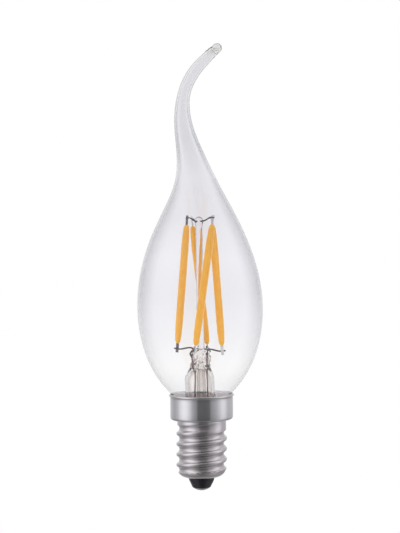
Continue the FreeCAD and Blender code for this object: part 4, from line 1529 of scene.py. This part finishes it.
    def wire(
        self, name: str, node: str, knots: Sequence[Vector], radius: float, welds: Iterable[Vector]
    ) -> None:
        """Makes one wire along a smooth line, with a small melted spot at each weld.

        Args:
            name: The piece's name.
            node: The node that it stands for.
            knots: The points it passes, in millimetres.
            radius: Its radius.
            welds: The middle of each weld.
        """
        curve = spline([tuple(k) for k in knots], tuple(knots[1] - knots[0]), tuple(knots[-1] - knots[-2]))
        last = len(knots) - 1
        line = [Vector(curve(u)[0]) for u in np.linspace(0, last, self.wire_steps * last + 1)]
        radii = [radius] * len(line)
        radii[0] = radii[-1] = radius * self.wire_end
        way = (line[1] - line[0]).normalized()
        long, wide = (radius * size for size in self.weld_size)
        parts = [tube(line, radii, self.wire_sides)] + [pill(middle, way, long, wide) for middle in welds]
        settle(mesh_from(name, parts), WIRE_METAL, node)

    def build_upper_wires(self, strips: Sequence[Strip]) -> None:
        """Makes the two thin wires in the post's bead, each to the heads of two strips.

        Args:
            strips: The four strips: left, rear, right and front.
        """
        for side, name, pair in ((-1, "left", strips[:2]), (1, "right", strips[2:])):
            corner = Vector((side * self.upper_gap, 0.0, self.post_top))
            ends, welds = [], []
            for strip in pair:
                inner, outer = strip.weld_line(True, self.upper_radius)
                ends.append((outer, inner, corner.lerp(inner, self.sag_at) + Vector(self.upper_sag)))
                welds.append(strip.hold(True).lerp(outer, self.weld_shift))
            knots = [*ends[0], corner, *reversed(ends[1])]
            self.wire(f"head_wire_{name}", f"upper_wire_{name}", knots, self.upper_radius, welds)

    def build_leads(self, strips: Sequence[Strip]) -> None:
        """Makes the two leads from the board up to the strips, and the two short arms beside them.

        Args:
            strips: The four strips: left, rear, right and front.
        """
        left, rear, right, front = strips
        shift_x, shift_y = self.lead_shift
        tops = ((-1, "left", left, self.left_top), (1, "right", right, self.right_top))
        for side, name, strip, top in tops:
            inner, outer = strip.weld_line(False, self.wire_radius)
            knots = [Vector(point) for point in (
                (side * self.board_x, 0.0, self.board_z),
                (side * self.board_x, 0.0, (self.board_z + self.flare_z) / 2),
                (side * self.board_x + shift_x, shift_y, self.flare_z - self.under_flare),
                (side * self.lead_x + shift_x, shift_y, self.press_z - self.under_press),
                *top, inner, outer,
            )]
            weld = (inner + outer) / 2
            self.wire(f"lead_{name}", f"lead_wire_{name}", knots, self.wire_radius, [weld])
        x, y, z = self.arm_start
        for side, name, strip in ((-1, "front", front), (1, "rear", rear)):
            inner, outer = strip.weld_line(False, self.wire_radius)
            start = Vector((side * x, side * y, z))
            knots = [start, start.lerp(inner, 0.5) + Vector(self.arm_rise), inner, outer]
            welds = [start, (inner + outer) / 2]
            self.wire(f"arm_{name}", f"arm_wire_{name}", knots, self.wire_radius, welds)

    def build(self) -> None:
        """Makes the strips, tabs and wires and puts them in place of their nodes."""
        strips = self.strips()
        for seed, strip in enumerate(strips):
            self.build_coating(strip, seed)
            self.build_tab(strip, True)
            self.build_tab(strip, False)
        self.build_upper_wires(strips)
        self.build_leads(strips)


@dataclass(frozen=True)
class GlassStem:
    """The flared stem with its pressed top, and the rod that stands on it.

    Each point of the press holds half its width, half its depth and its height. The rod's foot and neck are
    given by their share of its radius and their rise over its foot or its top.
    """

    neck_radius: float = 7.0
    bell_radius: float = 6.15
    bell_curve: float = 1.75
    foot_z: float = 20.4
    rim: float = 0.6
    tube_radius: float = 4.0
    wall: float = 0.8
    bell_drop: float = 0.7
    tube_foot_z: float = 26.75
    tube_gap: float = 0.5
    shoulder_z: float = 30.3
    shoulder_drop: float = 0.3
    vent_top_z: float = 35.15
    hollow_top: Pairs = (
        (0.06, 35.15), (0.6, 35.05), (0.62, 34.5), (0.9, 33.85), (1.4, 33.1), (2.05, 32.35), (2.7, 31.5),
        (3.1, 30.75),
    )
    press: tuple[Point, ...] = (
        (4.0, 4.0, 30.3), (3.82, 3.75, 31.1), (3.42, 3.1, 32.0), (2.92, 2.3, 32.85), (2.64, 1.7, 33.6),
        (2.56, 1.42, 35.6), (2.54, 1.36, 37.2), (2.46, 1.24, 37.95), (2.1, 0.98, 38.25), (1.3, 0.6, 38.34),
        (0.3, 0.15, 38.36),
    )
    rough_z: float = 31.9
    rough_rise: float = 1.6
    press_lumps: Lumps = Lumps(0.42, 1.25, 4.0)
    tube_lean: float = -0.5
    seam_count: int = 30
    seam_side: tuple[float, float] = (-2.2, 2.2)
    seam_deep: tuple[float, float] = (-0.8, 0.6)
    seam_radius: tuple[float, float] = (0.08, 0.2)
    seam_stretch: tuple[float, float] = (1.5, 5.0)
    seam_drop: float = 0.6
    rod_radius: float = 0.95
    rod_top: float = 72.6
    rod_foot: Pairs = ((1.2, -0.05), (1.04, 0.35))
    rod_neck: Pairs = ((1.02, -1.6), (1.12, -1.0))
    rod_lumps: Lumps = Lumps(0.07, 0.6, 9.0)
    rod_plain: tuple[float, float] = (0.9, 2.2)
    rod_rows: int = 70
    rod_sides: int = 40
    bead_radius: float = 1.2
    bead_turn: tuple[float, float] = (-25, 88)
    bell_rows: int = 16
    tube_rows: int = 12
    press_rows: int = 60
    least_radius: float = 0.02
    sides: int = 96

    def press_rings(self) -> list[np.ndarray]:
        """The oval rings of the pressed top, lumpy above its shoulder.

        Returns:
            The rings in millimetres.
        """
        press = spline(self.press, (0, 0, 1), (-1, -0.5, 0))
        rings = []
        for u in np.linspace(0.0, len(self.press) - 1, self.press_rows):
            half_x, half_y, z = press(u)[0]
            stretch = (max(half_x, self.least_radius), max(half_y, self.least_radius), 1.0)
            rings.append(round_ring((0, 0, z), 1.0, self.sides) * stretch)
        for ring, lumpy in zip(rings, self.press_lumps.on(rings)):
            ring += (lumpy - ring) * np.clip((ring[:, 2:] - self.rough_z) / self.rough_rise, 0, 1)
        return rings

    def build_stem(self) -> None:
        """Makes the stem, thick-walled below and lumpy where it was pressed."""
        inner = self.tube_radius - self.wall
        spread = self.bell_radius - self.tube_radius
        bell = [
            (self.tube_radius + spread * (1 - share) ** self.bell_curve,
             self.foot_z + (self.tube_foot_z - self.foot_z) * share)
            for share in np.linspace(0.0, 1.0, self.bell_rows)
        ]
        outer = [(self.neck_radius, self.foot_z - self.rim), (self.neck_radius, self.foot_z), *bell]
        heights = np.linspace(self.tube_foot_z + self.tube_gap, self.shoulder_z, self.tube_rows)[:-2]
        outer += [(self.tube_radius, z) for z in heights]
        hollow = [*self.hollow_top, (inner, self.shoulder_z - self.shoulder_drop), (inner, self.tube_foot_z)]
        hollow += [(r - self.wall, z - self.wall * self.bell_drop) for r, z in reversed(bell[:-1])]
        rings = turned(hollow + outer, self.sides) + self.press_rings()
        for ring in rings:
            rise = np.clip((ring[:, 2] - self.foot_z) / (self.shoulder_z - self.foot_z), 0, 1)
            fall = np.clip((ring[:, 2] - self.shoulder_z) / (self.vent_top_z - self.shoulder_z), 0, 1)
            ring[:, 0] += self.tube_lean * rise * (1 - fall)
        piece = mesh_from("pressed_stem", [ring_grid(rings, True)] + self.seams(), 60.0)
        settle(piece, STEM_GLASS, "stem_flare")

    def seams(self) -> list[Skin]:
        """Makes the thin upright hollows that the press left in the hot glass.

        Returns:
            Their skins.
        """
        dice = random.Random(4)
        heights = (self.vent_top_z - self.seam_drop, self.press[6][2])
        made = []
        for _ in range(self.seam_count):
            z, x, y, radius, stretch = (dice.uniform(*span) for span in (
                heights, self.seam_side, self.seam_deep, self.seam_radius, self.seam_stretch,
            ))
            made.append(bubble((x, y, z), radius, stretch))
        return made

    def build_rod(self) -> None:
        """Makes the rod with the melted bead at its top."""
        base, top, r = self.press[-1][2], self.rod_top, self.rod_radius
        outline = [(r * wide, base + rise) for wide, rise in self.rod_foot]
        low, high = base + self.rod_plain[0], top - self.rod_plain[1]
        outline += [(r, z) for z in np.linspace(low, high, self.rod_rows)]
        outline += [(r * wide, top + rise) for wide, rise in self.rod_neck]
        outline += arc_points((0.0, top), self.bead_radius, *self.bead_turn, 14)
        rings = self.rod_lumps.on(turned(outline, self.rod_sides))
        settle(mesh_from("post_rod", [ring_grid(rings, True)], 60.0), STEM_GLASS, "centre_post")

    def build(self) -> None:
        """Makes the stem and the rod."""
        self.build_stem()
        self.build_rod()


class Carried:
    """The nodes that stay as they are and only get their finish."""

    finishes: tuple[Finish, ...] = (
        TUBE_GLASS, WIRE_METAL, BOARD_LAMINATE, CHIP_PLASTIC, CAN_SLEEVE, RESISTOR_CERAMIC,
    )
    names: tuple[str, ...] = (
        "exhaust_tube", "contact_wire", "shell_wire", "driver_board",
        "rectifier", "driver_chip", "smoothing_capacitor", "fuse_resistor",
    )

    def dress(self, frame: dict) -> None:
        """Gives each carried-over node the finish of its slot.
        """
        table = {finish.slot: finish for finish in self.finishes}
        slots = {part["node"]: part["material_slot"] for part in frame["record"]["subparts"]}
        for name in self.names:
            table[slots[name]].dress(frame["nodes"][name])
            log.info("%s dressed as %s", name, slots[name])


def main() -> None:
    """Builds the studio and the bulb in order."""
    logging.basicConfig(level=logging.INFO, format="%(message)s")
    noise.seed_set(NOISE_SEED)
    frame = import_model()
    PhotoCamera().build()
    Studio().build()
    build_speckle()
    build_drawn_lines()
    Carried().dress(frame)
    for part in (BlownGlass(), CapSheet(), CementRing(), CapFoot(), GlassStem(), LightStrips()):
        part.build()


if __name__ == "__main__":
    main()
